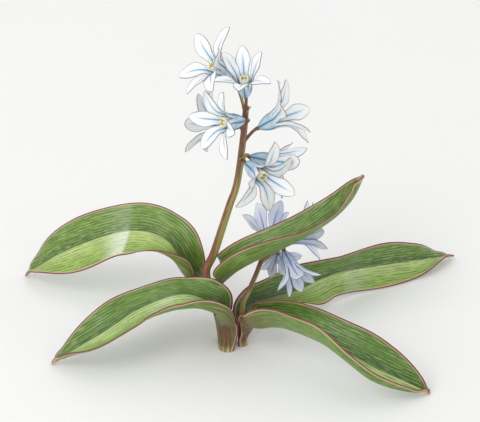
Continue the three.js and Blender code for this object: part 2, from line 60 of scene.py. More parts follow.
ring = np.array([v.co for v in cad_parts["stem_tall"].data.vertices if v.co.z < CUT_HEIGHT])
cut_end = (ring.min(axis=0) + ring.max(axis=0)) / 2
cut_end[2] = 0.0
print("cut end of the tall stem, mm:", np.round(cut_end / MM, 2))

# %% [markdown]
# ## A paint box
# Every finish on this plant is painted with shader nodes from marks that each point carries, such as
# how far along its leaf it lies. A picture wrapped round the shapes could do it too, but marks follow
# every blade exactly, whatever its bends. The paint box keeps the recipes short: each of its steps
# gives a socket that the next one can use.


# %% The paint box
def paint(red, green, blue):
    """A colour as a painter reads it off a screen, 0 to 255, turned into amounts of light."""
    shares = np.array([red, green, blue]) / 255
    light = np.where(shares > 0.04045, ((shares + 0.055) / 1.055) ** 2.4, shares / 12.92)
    return tuple(float(amount) for amount in light)


class Finish:
    """A material that is painted step by step."""

    def __init__(self, name, roughness):
        self.material = bpy.data.materials.new(name)
        self.material.use_nodes = True
        self.tree = self.material.node_tree
        self.shader = self.tree.nodes["Principled BSDF"]
        self.shader.inputs["Roughness"].default_value = roughness

    def node(self, kind, **settings):
        made = self.tree.nodes.new("ShaderNode" + kind)
        for name, value in settings.items():
            setattr(made, name, value)
        return made

    def feed(self, socket, value):
        """Links a socket to an input, or sets the input to a number or a colour."""
        if isinstance(value, bpy.types.NodeSocket):
            self.tree.links.new(value, socket)
        elif isinstance(value, tuple):
            socket.default_value = (*value, 1)
        else:
            socket.default_value = value

    def mark(self, name):
        return self.node("Attribute", attribute_name=name).outputs["Fac"]

    def maths(self, operation, *values):
        made = self.node("Math", operation=operation)
        for socket, value in zip(made.inputs, values):
            self.feed(socket, value)
        return made.outputs[0]

    def times(self, *values):
        product = values[0]
        for value in values[1:]:
            product = self.maths("MULTIPLY", product, value)
        return product

    def ramp(self, value, start, end, low=0.0, high=1.0):
        """Goes smoothly from low to high while the value goes from start to end."""
        made = self.node("MapRange", interpolation_type="SMOOTHSTEP")
        names = ("Value", "From Min", "From Max", "To Min", "To Max")
        for name, number in zip(names, (value, start, end, low, high)):
            self.feed(made.inputs[name], number)
        return made.outputs["Result"]

    def grain(self, x, y, z, detail=3.0):
        """Soft random blotches over a place of three numbers, from 0 to 1."""
        where = self.node("CombineXYZ")
        for socket, value in zip(where.inputs, (x, y, z)):
            self.feed(socket, value)
        noise = self.node("TexNoise")
        self.tree.links.new(where.outputs[0], noise.inputs["Vector"])
        noise.inputs["Scale"].default_value = 1.0
        noise.inputs["Detail"].default_value = detail
        return self.ramp(noise.outputs["Fac"], 0.3, 0.7)

    def stripes(self, value, spacing, share):
        """Lines at even spacing that are 1 in their middle and take up a share of the spacing."""
        swing = self.maths("PINGPONG", self.maths("DIVIDE", value, spacing), 0.5)
        return self.ramp(swing, 0.0, share / 2, 1.0, 0.0)

    def lay(self, share, under, over, blend="MIX"):
        """Lays one colour over another by a share."""
        made = self.node("Mix", data_type="RGBA", blend_type=blend)
        for number, value in zip((0, 6, 7), (share, under, over)):
            self.feed(made.inputs[number], value)
        return made.outputs[2]

    def done(self, colour, height=None, depth_mm=0.2, strength=0.5):
        """Puts the colour on the shader, with a bump where a height is given."""
        self.feed(self.shader.inputs["Base Color"], colour)
        if height is not None:
            bump = self.node("Bump")
            bump.inputs["Strength"].default_value = strength
            bump.inputs["Distance"].default_value = depth_mm * MM
            self.feed(bump.inputs["Height"], height)
            self.feed(self.shader.inputs["Normal"], bump.outputs["Normal"])
        return self.material


# %% [markdown]
# ## Camera, floor and light
# The drawing looks down on the plant by about thirty degrees from far away, so the camera has a long
# lens. The floor is plain and pale, and the light is soft and comes from everywhere, with one broad
# lamp from the upper left that gives the leaves and petals their gentle shading.

# %% Camera
CAMERA_AIM = (6.0, 20.0, 48.0)
CAMERA_DISTANCE = 720.0
CAMERA_ELEVATION = math.radians(30)
CAMERA_LENS = 135.0

aim = Vector(cut_end) + Vector(CAMERA_AIM) * MM
back = Vector((0.0, -math.cos(CAMERA_ELEVATION), math.sin(CAMERA_ELEVATION)))
camera = bpy.data.objects.new("camera", bpy.data.cameras.new("camera"))
camera.data.lens = CAMERA_LENS
camera.data.sensor_width = 36.0
camera.location = aim + back * CAMERA_DISTANCE * MM
camera.rotation_mode = "QUATERNION"
camera.rotation_quaternion = (-back).to_track_quat("-Z", "Y")
camera.data.clip_start = 0.01
camera.data.clip_end = 20.0
bpy.context.scene.collection.objects.link(camera)
bpy.context.scene.camera = camera
print("camera stands", round(camera.location.z, 3), "m above the floor")

# %% Floor, sky and lamp
FLOOR_SIZE = 8.0
FLOOR_COLOUR = paint(243, 243, 242)
FLOOR_SHADE = paint(239, 239, 238)
SKY_STRENGTH = 0.9
LAMP_POWER = 5.5
LAMP_SIZE = 0.7
LAMP_PLACE = (-0.7, -0.75, 1.1)

scene = bpy.context.scene
scene.view_settings.view_transform = "Standard"


def paint_floor():
    """Pale card with the faintest of clouds in it."""
    card = Finish("pale card", 0.9)
    place = card.node("TexCoord").outputs["Object"]
    apart = card.node("SeparateXYZ")
    card.feed(apart.inputs[0], place)
    cloud = card.grain(*[card.times(axis, 6.0) for axis in apart.outputs], detail=4.0)
    fibres = card.grain(*[card.times(axis, 900.0) for axis in apart.outputs], detail=2.0)
    colour = card.lay(card.times(cloud, 0.5), FLOOR_COLOUR, FLOOR_SHADE)
    return card.done(colour, fibres, depth_mm=0.05, strength=0.2)


half_floor = FLOOR_SIZE / 2
floor_mesh = bpy.data.meshes.new("floor")
floor_corners = [(-half_floor, -half_floor, 0), (half_floor, -half_floor, 0),
                 (half_floor, half_floor, 0), (-half_floor, half_floor, 0)]
floor_mesh.from_pydata(floor_corners, [], [(0, 1, 2, 3)])
floor_mesh.materials.append(paint_floor())
floor = bpy.data.objects.new("floor", floor_mesh)
scene.collection.objects.link(floor)

sky = bpy.data.worlds.new("sky")
sky.use_nodes = True
sky.node_tree.nodes["Background"].inputs["Color"].default_value = (1, 1, 1, 1)
sky.node_tree.nodes["Background"].inputs["Strength"].default_value = SKY_STRENGTH
scene.world = sky

lamp = bpy.data.objects.new("lamp", bpy.data.lights.new("lamp", "AREA"))
lamp.data.shape = "DISK"
lamp.data.size = LAMP_SIZE
lamp.data.energy = LAMP_POWER
lamp.location = LAMP_PLACE
lamp.rotation_mode = "QUATERNION"
lamp.rotation_quaternion = (aim - lamp.location).to_track_quat("-Z", "Y")
scene.collection.objects.link(lamp)

# %% [markdown]
# ## Lines and keys
# A leaf or stem is drawn by a smooth line through a few points, and its width, fold and roll change
# along that line. The values are given as [place, value] keys with smooth steps between them.


# %% Smooth lines and keyed values
def smoothstep(value, start, end):
    share = np.clip((np.asarray(value, float) - start) / (end - start), 0, 1)
    return share * share * (3 - 2 * share)


def keyed(keys, places):
    """The values at places on smooth steps between [place, value] keys."""
    values = np.full(len(places), float(keys[0][1]))
    for (start, low), (end, high) in zip(keys, keys[1:]):
        inside = places > start
        values[inside] = (low + (high - low) * smoothstep(places, start, end))[inside]
    return values


def smooth_line(points, count, steps=40):
    """Evenly spaced points, and their directions, on a smooth line through the given points."""
    knots = np.asarray(points, float)
    knots = np.vstack([2 * knots[0] - knots[1], knots, 2 * knots[-1] - knots[-2]])
    t = np.linspace(0, 1, steps, endpoint=False)[:, None]
    pieces = []
    for a, b, c, d in zip(knots, knots[1:], knots[2:], knots[3:]):
        bend = (2 * a - 5 * b + 4 * c - d) * t**2 + (3 * b - a - 3 * c + d) * t**3
        pieces.append(0.5 * (2 * b + (c - a) * t + bend))
    line = np.vstack([*pieces, knots[-2:-1]])
    lengths = np.concatenate([[0], np.cumsum(np.linalg.norm(np.diff(line, axis=0), axis=1))])
    wanted = np.linspace(0, lengths[-1], count)
    even = np.stack([np.interp(wanted, lengths, line[:, axis]) for axis in range(3)], axis=1)
    return even, unit(np.gradient(even, axis=0)), lengths[-1]


def unit(vectors):
    return vectors / np.linalg.norm(vectors, axis=-1, keepdims=True)


def facing(bearing, rise):
    """The way that a bearing from X towards Y, and a rise above the level, point to, in degrees."""
    turn, lift = math.radians(bearing), math.radians(rise)
    level = math.cos(lift)
    return np.array([level * math.cos(turn), level * math.sin(turn), math.sin(lift)])


def turned(vectors, axes, angles):
    """Each vector turned about its own unit axis by its own angle, in radians."""
    cosine, sine = np.cos(angles)[:, None], np.sin(angles)[:, None]
    along = np.sum(vectors * axes, axis=1, keepdims=True)
    return vectors * cosine + np.cross(axes, vectors) * sine + axes * along * (1 - cosine)


# %% [markdown]
# ## From a thin sheet to a real blade
# Leaves and petals are thin but not paper-thin. Each starts as a sheet of quads and gets two skins,
# pushed apart along the sheet's own normals, and a rim that closes them. A solidify modifier could do
# this too, but doing it by hand lets the blade thin out towards its margins and lets each skin know
# which side it is.


# %% Thicken a sheet and make an object of it
def sheet_normals(points, quads):
    corners = points[quads]
    normals = np.cross(corners[:, 2] - corners[:, 0], corners[:, 3] - corners[:, 1])
    summed = np.zeros_like(points)
    for corner in range(4):
        np.add.at(summed, quads[:, corner], normals)
    return unit(summed + 1e-12)


def rim_edges(quads):
    """The edges that only one quad has, in that quad's direction."""
    edges = np.concatenate([quads[:, [i, (i + 1) % 4]] for i in range(4)])
    known = set(map(tuple, edges.tolist()))
    return np.array([edge for edge in edges.tolist() if (edge[1], edge[0]) not in known])


def thickened(points, quads, thickness, marks):
    """Points, quads and marks of the closed blade round a sheet. Marks are numbers kept per point."""
    offset = sheet_normals(points, quads) * thickness[:, None] / 2
    count = len(points)
    rim = rim_edges(quads)
    sides = np.stack([rim[:, 1], rim[:, 0], rim[:, 0] + count, rim[:, 1] + count], axis=1)
    both = np.vstack([points + offset, points - offset])
    faces = np.vstack([quads, quads[:, ::-1] + count, sides])
    doubled = {name: np.concatenate([values, values]) for name, values in marks.items()}
    doubled["face_side"] = np.concatenate([np.ones(count), -np.ones(count)])
    return both, faces, doubled


def make_piece(name, points, faces, marks, material, node):
    """An object of points in millimetres, which rides on the plant and stands for its CAD node."""
    mesh = bpy.data.meshes.new(name)
    mesh.from_pydata((points * MM + cut_end).tolist(), [], faces.tolist())
    for mark, values in marks.items():
        attribute = mesh.attributes.new(mark, "FLOAT", "POINT")
        attribute.data.foreach_set("value", np.asarray(values, np.float32))
    mesh.materials.append(material)
    mesh.shade_smooth()
    piece = bpy.data.objects.new(name, mesh)
    scene.collection.objects.link(piece)
    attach(piece, "root")
    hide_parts(node)
    return piece


def grid_quads(rows, columns):
    """The quads of a grid of points that has that many rows and columns of quads."""
    start = np.arange(rows)[:, None] * (columns + 1) + np.arange(columns)[None, :]
    a = start.reshape(-1)
    return np.stack([a, a + columns + 1, a + columns + 2, a + 1], axis=1)


def cut_flat(piece):
    """Takes away what is below the plane that the plant was cut on, and closes the cut."""
    work = bmesh.new()
    work.from_mesh(piece.data)
    everything = work.verts[:] + work.edges[:] + work.faces[:]
    cut = bmesh.ops.bisect_plane(work, geom=everything, plane_co=(0, 0, 0), plane_no=(0, 0, 1),
                                 clear_inner=True)
    edges = [part for part in cut["geom_cut"] if isinstance(part, bmesh.types.BMEdge)]
    bmesh.ops.holes_fill(work, edges=edges, sides=0)
    work.to_mesh(piece.data)
    work.free()
    piece.data.update()


# %% [markdown]
# ## Leaves
# A squill's leaf wraps its neck like a sheath, opens into a channel and then arches over as a broad
# strap with a blunt, hooded tip. Each one is a sheet whose rows follow a smooth line: every row is
# folded at the midrib and curls up towards its margins.

# %% The leaves' lines and keys
LEAF_ROWS = 200
LEAF_COLUMNS = 44
LEAF_THICKNESS = 0.75
LEAF_MARGIN_THICKNESS = 0.35
LEAF_TIP_HALF_WIDTH = 1.4
LEAF_TIP_ROUNDING = 0.988
LEAF_CLOSING_START = 0.62
LEAF_CLOSING = (2.2, 0.85)
SECTION_STEPS = 24

TALL_NECK = [[0.4, -0.2, -2], [-1.2, 1.2, 11], [-5.8, 3.4, 21]]
FRONT_NECK = [[0.9, -5.8, -2], [0.7, -6.4, 8]]
SHORT_NECK = [[6.8, -3.5, -2], [6.8, -3.3, 4]]

# Each leaf's last line gives its blue tint, the strength of the painted shade on its far half, and where its painted
# highlight lies.
LEAVES = [
    dict(
        name="leaf_left_front", neck=FRONT_NECK, hug=[3.3, 3.4], stands=190, bearing=182, near_side=1,
        path=[[-3.3, -7.6, 13.5], [-4, -11.5, 23], [-16.2, -11.4, 28.3],
              [-32.9, -11.5, 21.9], [-46.4, -19, 16.3], [-68.1, -18.3, 0.5]],
        roll=[[0, 0], [0.12, 16], [0.3, -4], [0.5, -10], [0.75, -25], [1, 1]],
        width=[[0, 7.5], [0.14, 9.8], [0.3, 12.5], [0.6, 10.7]],
        fold=[[0.1, 7], [0.35, -24], [0.75, -3], [0.93, 8], [1, 60]],
        curl=[[0, 120], [0.12, 127], [0.28, 90], [0.4, 39], [0.8, 44]],
        hook=[[0, 0], [0.12, -19], [0.25, 97], [0.4, 102], [0.6, 31], [0.8, 34], [1, 76]],
        blue=0.5, far_shade=0.3, shine=(0.42, 0.56, 0.2),
    ),
    dict(
        name="leaf_left_back", neck=TALL_NECK, hug=[3.25, 4, 5.2], stands=140, bearing=150, near_side=1,
        path=[[-14.5, 10.1, 24], [-23.3, 12.6, 38.5], [-38.8, 22.9, 36.9],
              [-64.5, 35.6, 20.8], [-85.3, 47.8, 0.5]],
        roll=[[0.18, 4], [0.3, -10], [0.5, -43], [0.75, -60], [1, -23]],
        width=[[0, 2.9], [0.16, 2.9], [0.3, 11.7], [0.6, 11.8]],
        fold=[[0.16, 0], [0.35, 8], [0.75, 10], [0.9, 30], [1, 54]],
        curl=[[0, 62], [0.16, 62], [0.28, 106], [0.4, 2], [0.7, -7]],
        hook=[[0, 0], [0.12, 0], [0.25, 121], [0.45, 24], [0.8, -1], [1, 6]],
        blue=0, far_shade=0.2, shine=(0.5, 0.63, 0.8),
    ),
    dict(
        name="leaf_right_up", neck=TALL_NECK, hug=[2.7, 3.2, 3.9], stands=15, bearing=15, near_side=-1,
        path=[[1.8, 4, 27], [10.1, -3, 37.7], [32, -1.9, 49.5], [47.5, 0.1, 62.4], [53, -5.5, 78]],
        roll=[[0.2, 0], [0.3, -12], [0.5, -15], [0.8, -7], [1, -22]],
        width=[[0, 2.5], [0.2, 2.5], [0.35, 10.3], [0.6, 10.8]],
        fold=[[0.2, 0], [0.35, 43], [0.8, 17], [0.93, 28], [1, 69]],
        curl=[[0.2, 52], [0.35, 47], [0.5, 30], [0.8, 28]],
        hook=[[0, 0], [0.2, 0], [0.35, 15], [0.6, -3], [0.85, 8], [1, 30]],
        blue=0.1, far_shade=0.7, shine=(0.45, 0.6, 0.1),
    ),
    dict(
        name="leaf_right_back", neck=SHORT_NECK, hug=[2, 2], stands=80, bearing=38, near_side=-1,
        path=[[8.6, 3.5, 12.8], [28.6, 18.9, 10.7], [43.7, 28, 13], [62.4, 40.5, 9.6], [98.4, 61.6, 1.5]],
        roll=[[0, 42], [0.05, 42], [0.15, 8], [0.3, 24], [0.5, 90], [0.8, 64], [1, -22]],
        width=[[0, 1.9], [0.05, 1.9], [0.2, 8.1], [0.35, 10], [0.6, 10]],
        fold=[[0.05, 0], [0.3, 12], [0.75, 5], [0.93, 19], [1, 55]],
        curl=[[0.05, 54], [0.16, 40], [0.3, 15]],
        hook=[[0, 0], [0.2, 46], [0.6, -21], [0.85, 19], [1, -50]],
        blue=0.3, far_shade=0.6, shine=(0.52, 0.66, 0.2),
    ),
    dict(
        name="leaf_right_front", neck=SHORT_NECK, hug=[2.35, 2.4], stands=-70, bearing=-20, near_side=-1,
        path=[[11.7, -9.1, 12.5], [14.1, -13.7, 14.5], [24.3, -20.9, 18.8],
              [44.9, -36, 18.5], [60, -38.9, 11.6], [79, -37.8, 0.5]],
        roll=[[0, -50], [0.06, -50], [0.22, 7], [0.5, -8], [0.8, 32], [1, 31]],
        width=[[0, 2.1], [0.06, 2.3], [0.25, 11.9], [0.6, 12.2]],
        fold=[[0.06, 0], [0.3, 46], [0.8, -4], [0.93, 2], [1, 74]],
        curl=[[0, 60], [0.2, 71], [0.4, 54]],
        hook=[[0, 0], [0.2, 3], [0.4, -28], [0.6, 54], [0.8, 155], [1, 122]],
        blue=0.4, far_shade=0.9, shine=(0.5, 0.6, 0.1),
    ),
]


# %% Grow a leaf along its line
def closed(places, start, closing):
    """The share of its width that a blade keeps, from 1 at the start to 0 at its tip."""
    sharpness, fullness = closing
    share = np.clip((places - start) / (1 - start), 0, 1)
    return (1 - share**sharpness) ** fullness


def leaf_line(leaf):
    side = facing(leaf["stands"], 0)
    sheath = [np.array(centre) + side * out for centre, out in zip(leaf["neck"], leaf["hug"])]
    return smooth_line([*sheath, *leaf["path"]], LEAF_ROWS + 1)


def shine(places, leaf):
    """The patch where a leaf catches the light, with a sharp end towards the neck."""
    start, end, strength = leaf["shine"]
    return strength * smoothstep(places, start, start + 0.02) * (1 - smoothstep(places, end - 0.1, end))


def leaf_sheet(leaf):
    """The points of a leaf's sheet, row by row, with what each point knows about its place."""
    places = np.linspace(0, 1, LEAF_ROWS + 1)
    line, along, length = leaf_line(leaf)
    across = np.tile(facing(leaf["bearing"] + 90, 0), (len(places), 1))
    across = unit(across - along * np.sum(across * along, axis=1, keepdims=True))
    up = np.cross(along, across)
    roll = np.radians(keyed(leaf["roll"], places))
    across, up = turned(across, along, roll), turned(up, along, roll)
    half = np.maximum(LEAF_TIP_HALF_WIDTH,
                      keyed(leaf["width"], places) * closed(places, LEAF_CLOSING_START, LEAF_CLOSING))
    half *= 0.3 + 0.7 * np.sqrt(closed(places, LEAF_TIP_ROUNDING, (2, 1)))
    fold = np.minimum(np.radians(keyed(leaf["fold"], places)), np.arctan(half / 3))[:, None, None]
    curl = np.radians(keyed(leaf["curl"], places))[:, None, None]
    hook = np.radians(keyed(leaf["hook"], places))[:, None, None]
    q = np.linspace(-1, 1, LEAF_COLUMNS + 1)[None, :]
    walked = np.abs(q)[:, :, None] * (np.arange(SECTION_STEPS) + 0.5) / SECTION_STEPS
    angle = fold + curl * walked + hook * (q * leaf["near_side"] > 0)[:, :, None] * walked**3
    out = q * half[:, None] * np.cos(angle).mean(axis=2)
    rise = np.abs(q) * half[:, None] * np.sin(angle).mean(axis=2)
    points = (line[:, None, :] + across[:, None, :] * out[:, :, None]
              + up[:, None, :] * rise[:, :, None]).reshape(-1, 3)
    marks = {
        "leaf_place": np.repeat(places, LEAF_COLUMNS + 1),
        "leaf_toward": np.tile(q[0] * leaf["near_side"], len(places)),
        "leaf_along_mm": np.repeat(places * length, LEAF_COLUMNS + 1),
        "leaf_across_mm": (q * half[:, None]).reshape(-1),
        "leaf_half_mm": np.repeat(half, LEAF_COLUMNS + 1),
        "leaf_shine": np.repeat(shine(places, leaf), LEAF_COLUMNS + 1),
        "leaf_blue": np.full(len(points), leaf["blue"]),
        "leaf_far_shade": np.full(len(points), leaf["far_shade"]),
        "leaf_number": np.full(len(points), float(LEAVES.index(leaf))),
    }
    return points, marks


def grow_leaf(leaf, material):
    points, marks = leaf_sheet(leaf)
    edge = smoothstep(np.abs(marks["leaf_toward"]), 0.7, 1)
    thickness = LEAF_THICKNESS + (LEAF_MARGIN_THICKNESS - LEAF_THICKNESS) * edge
    points, faces, marks = thickened(points, grid_quads(LEAF_ROWS, LEAF_COLUMNS), thickness, marks)
    piece = make_piece(leaf["name"] + "_blade", points, faces, marks, material, leaf["name"])
    cut_flat(piece)
    return piece


# %% [markdown]
# ## The leaf's green
# Seen from above, the half of a blade behind its midrib is painted in shade, a dark green that is darkest
# beside the midrib, and the half in front is painted in light, a pale yellow-green that is palest beside the
# midrib, with veins that run side by side from neck to tip; the channel near the neck is painted in shade
# as well. A red line follows the margin with a pale one inside it, the underside turns brown-red in streaks
# towards the neck, and the cut is pale.

# %% Paint the leaves
# The far, near and darkest greens are painted shade and painted light on a blade's two halves, the darkest also
# being the veins' own colour; the neck colour is painted shade in the channel.
VEIN_AND_SHADE_GREEN = paint(48, 84, 28)
SHADED_FAR_GREEN = paint(106, 140, 48)
LIT_NEAR_GREEN = paint(142, 172, 72)
PALE_GREEN = paint(190, 206, 128)
UNDER_GREEN = paint(114, 144, 58)
STREAK_GREEN = paint(64, 100, 34)
NECK_SHADE = paint(46, 66, 28)
NECK_RED = paint(112, 64, 50)
CUT_PALE = paint(214, 208, 138)
MARGIN_RED = paint(132, 48, 50)
MARGIN_DARK = paint(92, 42, 44)
MARGIN_PALE = paint(214, 182, 158)
TIP_PALE = paint(196, 174, 140)
SHINE_PALE = paint(226, 236, 218)
BLUE_SHARE = paint(226, 240, 255)
VEIN_SPACING = 1.15


def paint_leaf():
    leaf = Finish("leaf green", 0.42)
    place, toward, number = leaf.mark("leaf_place"), leaf.mark("leaf_toward"), leaf.mark("leaf_number")
    along, across = leaf.mark("leaf_along_mm"), leaf.mark("leaf_across_mm")
    far_shade = leaf.mark("leaf_far_shade")
    to_margin = leaf.maths("SUBTRACT", leaf.mark("leaf_half_mm"), leaf.maths("ABSOLUTE", across))
    under = leaf.ramp(leaf.mark("face_side"), 0.1, -0.1)
    apart = leaf.maths("ADD", leaf.times(number, 7.0), leaf.times(under, 3.0))
    broad = leaf.grain(leaf.times(across, 0.55), leaf.times(along, 0.028), apart)
    streaks = leaf.grain(leaf.times(across, 1.7), leaf.times(along, 0.05), apart, detail=4.0)
    fine = leaf.grain(leaf.times(across, 5.5), leaf.times(along, 0.22), apart, detail=2.0)
    broken = leaf.grain(leaf.times(across, 1.1), leaf.times(along, 0.16), apart, detail=2.0)
    wander = leaf.maths("ADD", across, leaf.times(broad, 0.5))
    veins = leaf.times(leaf.stripes(wander, VEIN_SPACING, 0.42), leaf.ramp(broken, 0.15, 0.65))
    between = leaf.times(leaf.stripes(leaf.maths("ADD", wander, VEIN_SPACING / 2), VEIN_SPACING, 0.5),
                         leaf.ramp(broken, 0.7, 0.2))

    # Painted shade on the half behind the midrib, darkest beside it and stronger on leaves with more far shade;
    # painted light on the half in front, palest beside the midrib; dark streaks lie heavier on the shaded half.
    far_from_rib = leaf.maths("ABSOLUTE", toward)
    far = leaf.lay(leaf.times(leaf.ramp(far_from_rib, 0.55, 0.0), leaf.ramp(far_shade, 0, 1, 0.75, 1)),
                   SHADED_FAR_GREEN, VEIN_AND_SHADE_GREEN)
    far = leaf.lay(leaf.times(far_shade, 0.35), far, VEIN_AND_SHADE_GREEN)
    near = leaf.lay(leaf.times(leaf.ramp(far_from_rib, 0.75, 0.02), leaf.ramp(place, 0.2, 0.45)),
                    LIT_NEAR_GREEN, PALE_GREEN)
    upper = leaf.lay(leaf.ramp(toward, -0.03, 0.05), far, near)
    upper = leaf.lay(leaf.times(leaf.ramp(streaks, 0.4, 1.0), leaf.ramp(toward, -0.1, 0.1, 0.6, 0.35)), upper,
                     STREAK_GREEN)
    upper = leaf.lay(leaf.times(leaf.ramp(fine, 0.5, 1.0), 0.4), upper, PALE_GREEN)
    upper = leaf.lay(leaf.times(between, 0.4), upper, PALE_GREEN)
    upper = leaf.lay(leaf.times(veins, 0.8), upper, VEIN_AND_SHADE_GREEN)
    # Painted shade inside the channel near the neck, strongest along its middle.
    channel = leaf.times(leaf.ramp(place, 0.42, 0.14), leaf.ramp(far_from_rib, 1.0, 0.3), 0.8)
    upper = leaf.lay(channel, upper, NECK_SHADE)

    lower = leaf.lay(leaf.times(leaf.ramp(streaks, 0.35, 0.9), 0.55), UNDER_GREEN, STREAK_GREEN)
    lower = leaf.lay(leaf.times(leaf.ramp(fine, 0.5, 1.0), 0.4), lower, PALE_GREEN)
    lower = leaf.lay(leaf.times(veins, 0.6), lower, VEIN_AND_SHADE_GREEN)
    red_streaks = leaf.times(leaf.ramp(place, 0.42, 0.12), leaf.ramp(streaks, 0.1, 0.6, 0.35, 0.95))
    lower = leaf.lay(red_streaks, lower, NECK_RED)

    colour = leaf.lay(under, upper, lower)
    colour = leaf.lay(leaf.times(leaf.mark("leaf_blue"), 1.0), colour, BLUE_SHARE, "MULTIPLY")
    shine_streaks = leaf.times(leaf.mark("leaf_shine"), leaf.ramp(fine, 0.0, 0.6, 0.55, 1.0),
                               leaf.ramp(toward, -0.1, 0.1, 0.2, 1.0), leaf.ramp(under, 0, 1, 1, 0))
    colour = leaf.lay(shine_streaks, colour, SHINE_PALE)
    cut = leaf.times(leaf.ramp(place, 0.06, 0.015), leaf.ramp(streaks, 0.75, 0.25, 0.2, 0.9))
    colour = leaf.lay(cut, colour, CUT_PALE)
    colour = leaf.lay(leaf.ramp(place, 0.955, 0.985, 0, 0.85), colour, TIP_PALE)
    width = leaf.times(leaf.ramp(place, 0.3, 0.12, 0.6, 1.0), leaf.ramp(place, 0.93, 0.99, 1.0, 0.5))
    inner = leaf.maths("ADD", width, 0.5)
    colour = leaf.lay(leaf.ramp(to_margin, inner, width, 0, 0.75), colour, MARGIN_PALE)
    red = leaf.lay(leaf.ramp(streaks, 0.4, 1.0), MARGIN_RED, MARGIN_DARK)
    colour = leaf.lay(leaf.ramp(to_margin, width, leaf.times(width, 0.6), 0, 0.95), colour, red)

    rib = leaf.ramp(far_from_rib, 0.04, 0.0)
    height = leaf.maths("SUBTRACT", leaf.times(streaks, 0.35), leaf.maths("ADD", veins, rib))
    return leaf.done(colour, height, depth_mm=0.12, strength=0.45)


leaf_green = paint_leaf()
for leaf in LEAVES:
    blade = grow_leaf(leaf, leaf_green)
    print(blade.name, "has", len(blade.data.polygons), "faces")

# %% [markdown]
# ## Stems
# Each flower stem is a round, slightly fleshy stalk that thins upwards. The blooms hang on short
# stalks of their own, which spring from the stem, and two of those have a tiny papery scale below.

# %% The stems and blooms as they stand
STEM_SIDES = 28
STEM_ROWS = 120

TALL_STEM = dict(
    name="stem_tall", radii=(1.9, 1.2), red=[[0, 0.6], [0.3, 0.6], [0.5, 0.35], [0.68, 0.35], [0.85, 0.7], [1, 0.9]],
    path=[*TALL_NECK, [-7.5, 5, 29], [-4.5, 6.5, 36], [-1, 8.5, 47], [2, 9.5, 57], [5, 10.5, 67],
          [7.5, 11.5, 88], [8.3, 11.5, 99]],
    bracts=[dict(foot=[8.6, 10.8, 96], bearing=-20, rise=72), dict(foot=[6.2, 10, 76], bearing=-60, rise=60)],
)
SHORT_STEM = dict(
    name="stem_short", radii=(1.15, 0.95), red=[[0, 0.1], [0.5, 0.2], [0.75, 0.75], [1, 0.95]],
    path=[*SHORT_NECK, [7, -1.5, 16.5], [9.5, 0.5, 22.5], [12.5, 4, 28.5], [14.5, 7, 33]],
    bracts=[],
)
BLOOMS = [
    dict(name="a", petals="white", foot=[2.5, 20, 107], bearing=200, rise=40, turn=165, size=1.05,
         lean=[60, 80, 65, 85, 50, 85], veer=[-5, 5, 14, -6, -10, 0],
         stalk_red=0.3, stalk=[[8, 11.5, 95], [6.5, 16, 100.5]]),
    dict(name="b", petals="white", foot=[8.2, 11.7, 103], bearing=250, rise=77, turn=346, size=0.92,
         lean=[70, 24, 36, 40, 62, 66], veer=[-8, 0, 4, -8, 6, -4],
         stalk_red=0.9, stalk=[[8.2, 11.5, 97]]),
    dict(name="c", petals="white", foot=[7.5, 8.5, 94.5], bearing=210, rise=10, turn=75, size=1,
         lean=[70, 85, 45, 75, 80, 75], veer=[0, 15, -5, -10, 2, -7],
         stalk_red=0.8, stalk=[[7.8, 11.5, 91.5]]),
    dict(name="d", petals="white", foot=[4.5, 16.5, 87.5], bearing=160, rise=0, turn=75, size=1.05,
         lean=[75, 75, 75, 75, 50, 60], veer=[-6, 0, 0, 0, 0, 6],
         stalk_red=0.7, stalk=[[7.3, 11.4, 85]]),
    dict(name="e", petals="white", foot=[13.5, 11.5, 90], bearing=0, rise=30, turn=90, size=1.05,
         lean=[60, 70, 45, 80, 45, 60], veer=[5, -10, 0, 5, -5, 0],
         stalk_red=1.0, stalk=[[7.2, 11.4, 83], [9.5, 11.5, 86.5]]),
    dict(name="f", petals="white", foot=[8.5, 8.5, 76], bearing=-50, rise=-10, turn=85, size=1.05,
         lean=[90, 60, 85, 75, 40, 105], veer=[-5, 10, 5, 15, 0, -20],
         stalk_red=0.6, stalk=[[6, 11, 74]]),
    dict(name="g", petals="white", foot=[10, 18, 73.5], bearing=10, rise=-20, turn=30, size=1.05,
         lean=[45, 30, 65, 75, 75, 75], veer=[-5, 10, -5, 0, 0, 0],
         stalk_red=0.6, stalk=[[5.8, 10.9, 69]]),
    dict(name="h", petals="lilac", foot=[17.9, 11.8, 35.5], bearing=92, rise=16.9, turn=356.1, size=0.95,
         lean=[36.3, 20.9, 52.6, 24.4, 34.3, 46.2], veer=[8.7, 0.4, -1.7, -1.7, 6.1, -11.8],
         stalk_red=0.7, stalk=[[14, 6.5, 31.5], [17.5, 8.5, 33.5]]),
    dict(name="i", petals="lilac", foot=[20.9, 11.1, 39.7], bearing=-1.1, rise=18.2, turn=31, size=1.02,
         lean=[65.9, 40, 22, 32, 75.6, 88], veer=[-4.7, -7.9, 8, -8, 7.4, 3.7],
         stalk_red=0.8, stalk=[[14, 6.5, 31.5], [16.5, 8, 36]]),
    dict(name="j", petals="lilac", foot=[23.5, 5.2, 38], bearing=-52.5, rise=-47, turn=55.7, size=0.85,
         lean=[45.1, 62.2, 57.1, 18, 18, 34.4], veer=[3.4, 0.6, -1.8, 6.9, 3.8, -12.8],
         stalk_red=0.7, stalk=[[14, 6.5, 31.5], [18.5, 6.5, 37.5]]),
    dict(name="k", petals="lilac", foot=[21.1, 11.9, 33.3], bearing=94.6, rise=-49.2, turn=350.1, size=0.7,
         lean=[28, 30, 31, 80, 26, 24], veer=[-8, 3.9, 6.5, 4.1, 5, 3.7],
         stalk_red=0.7, stalk=[[14, 6.5, 31.5], [18.5, 8.5, 35]]),
]


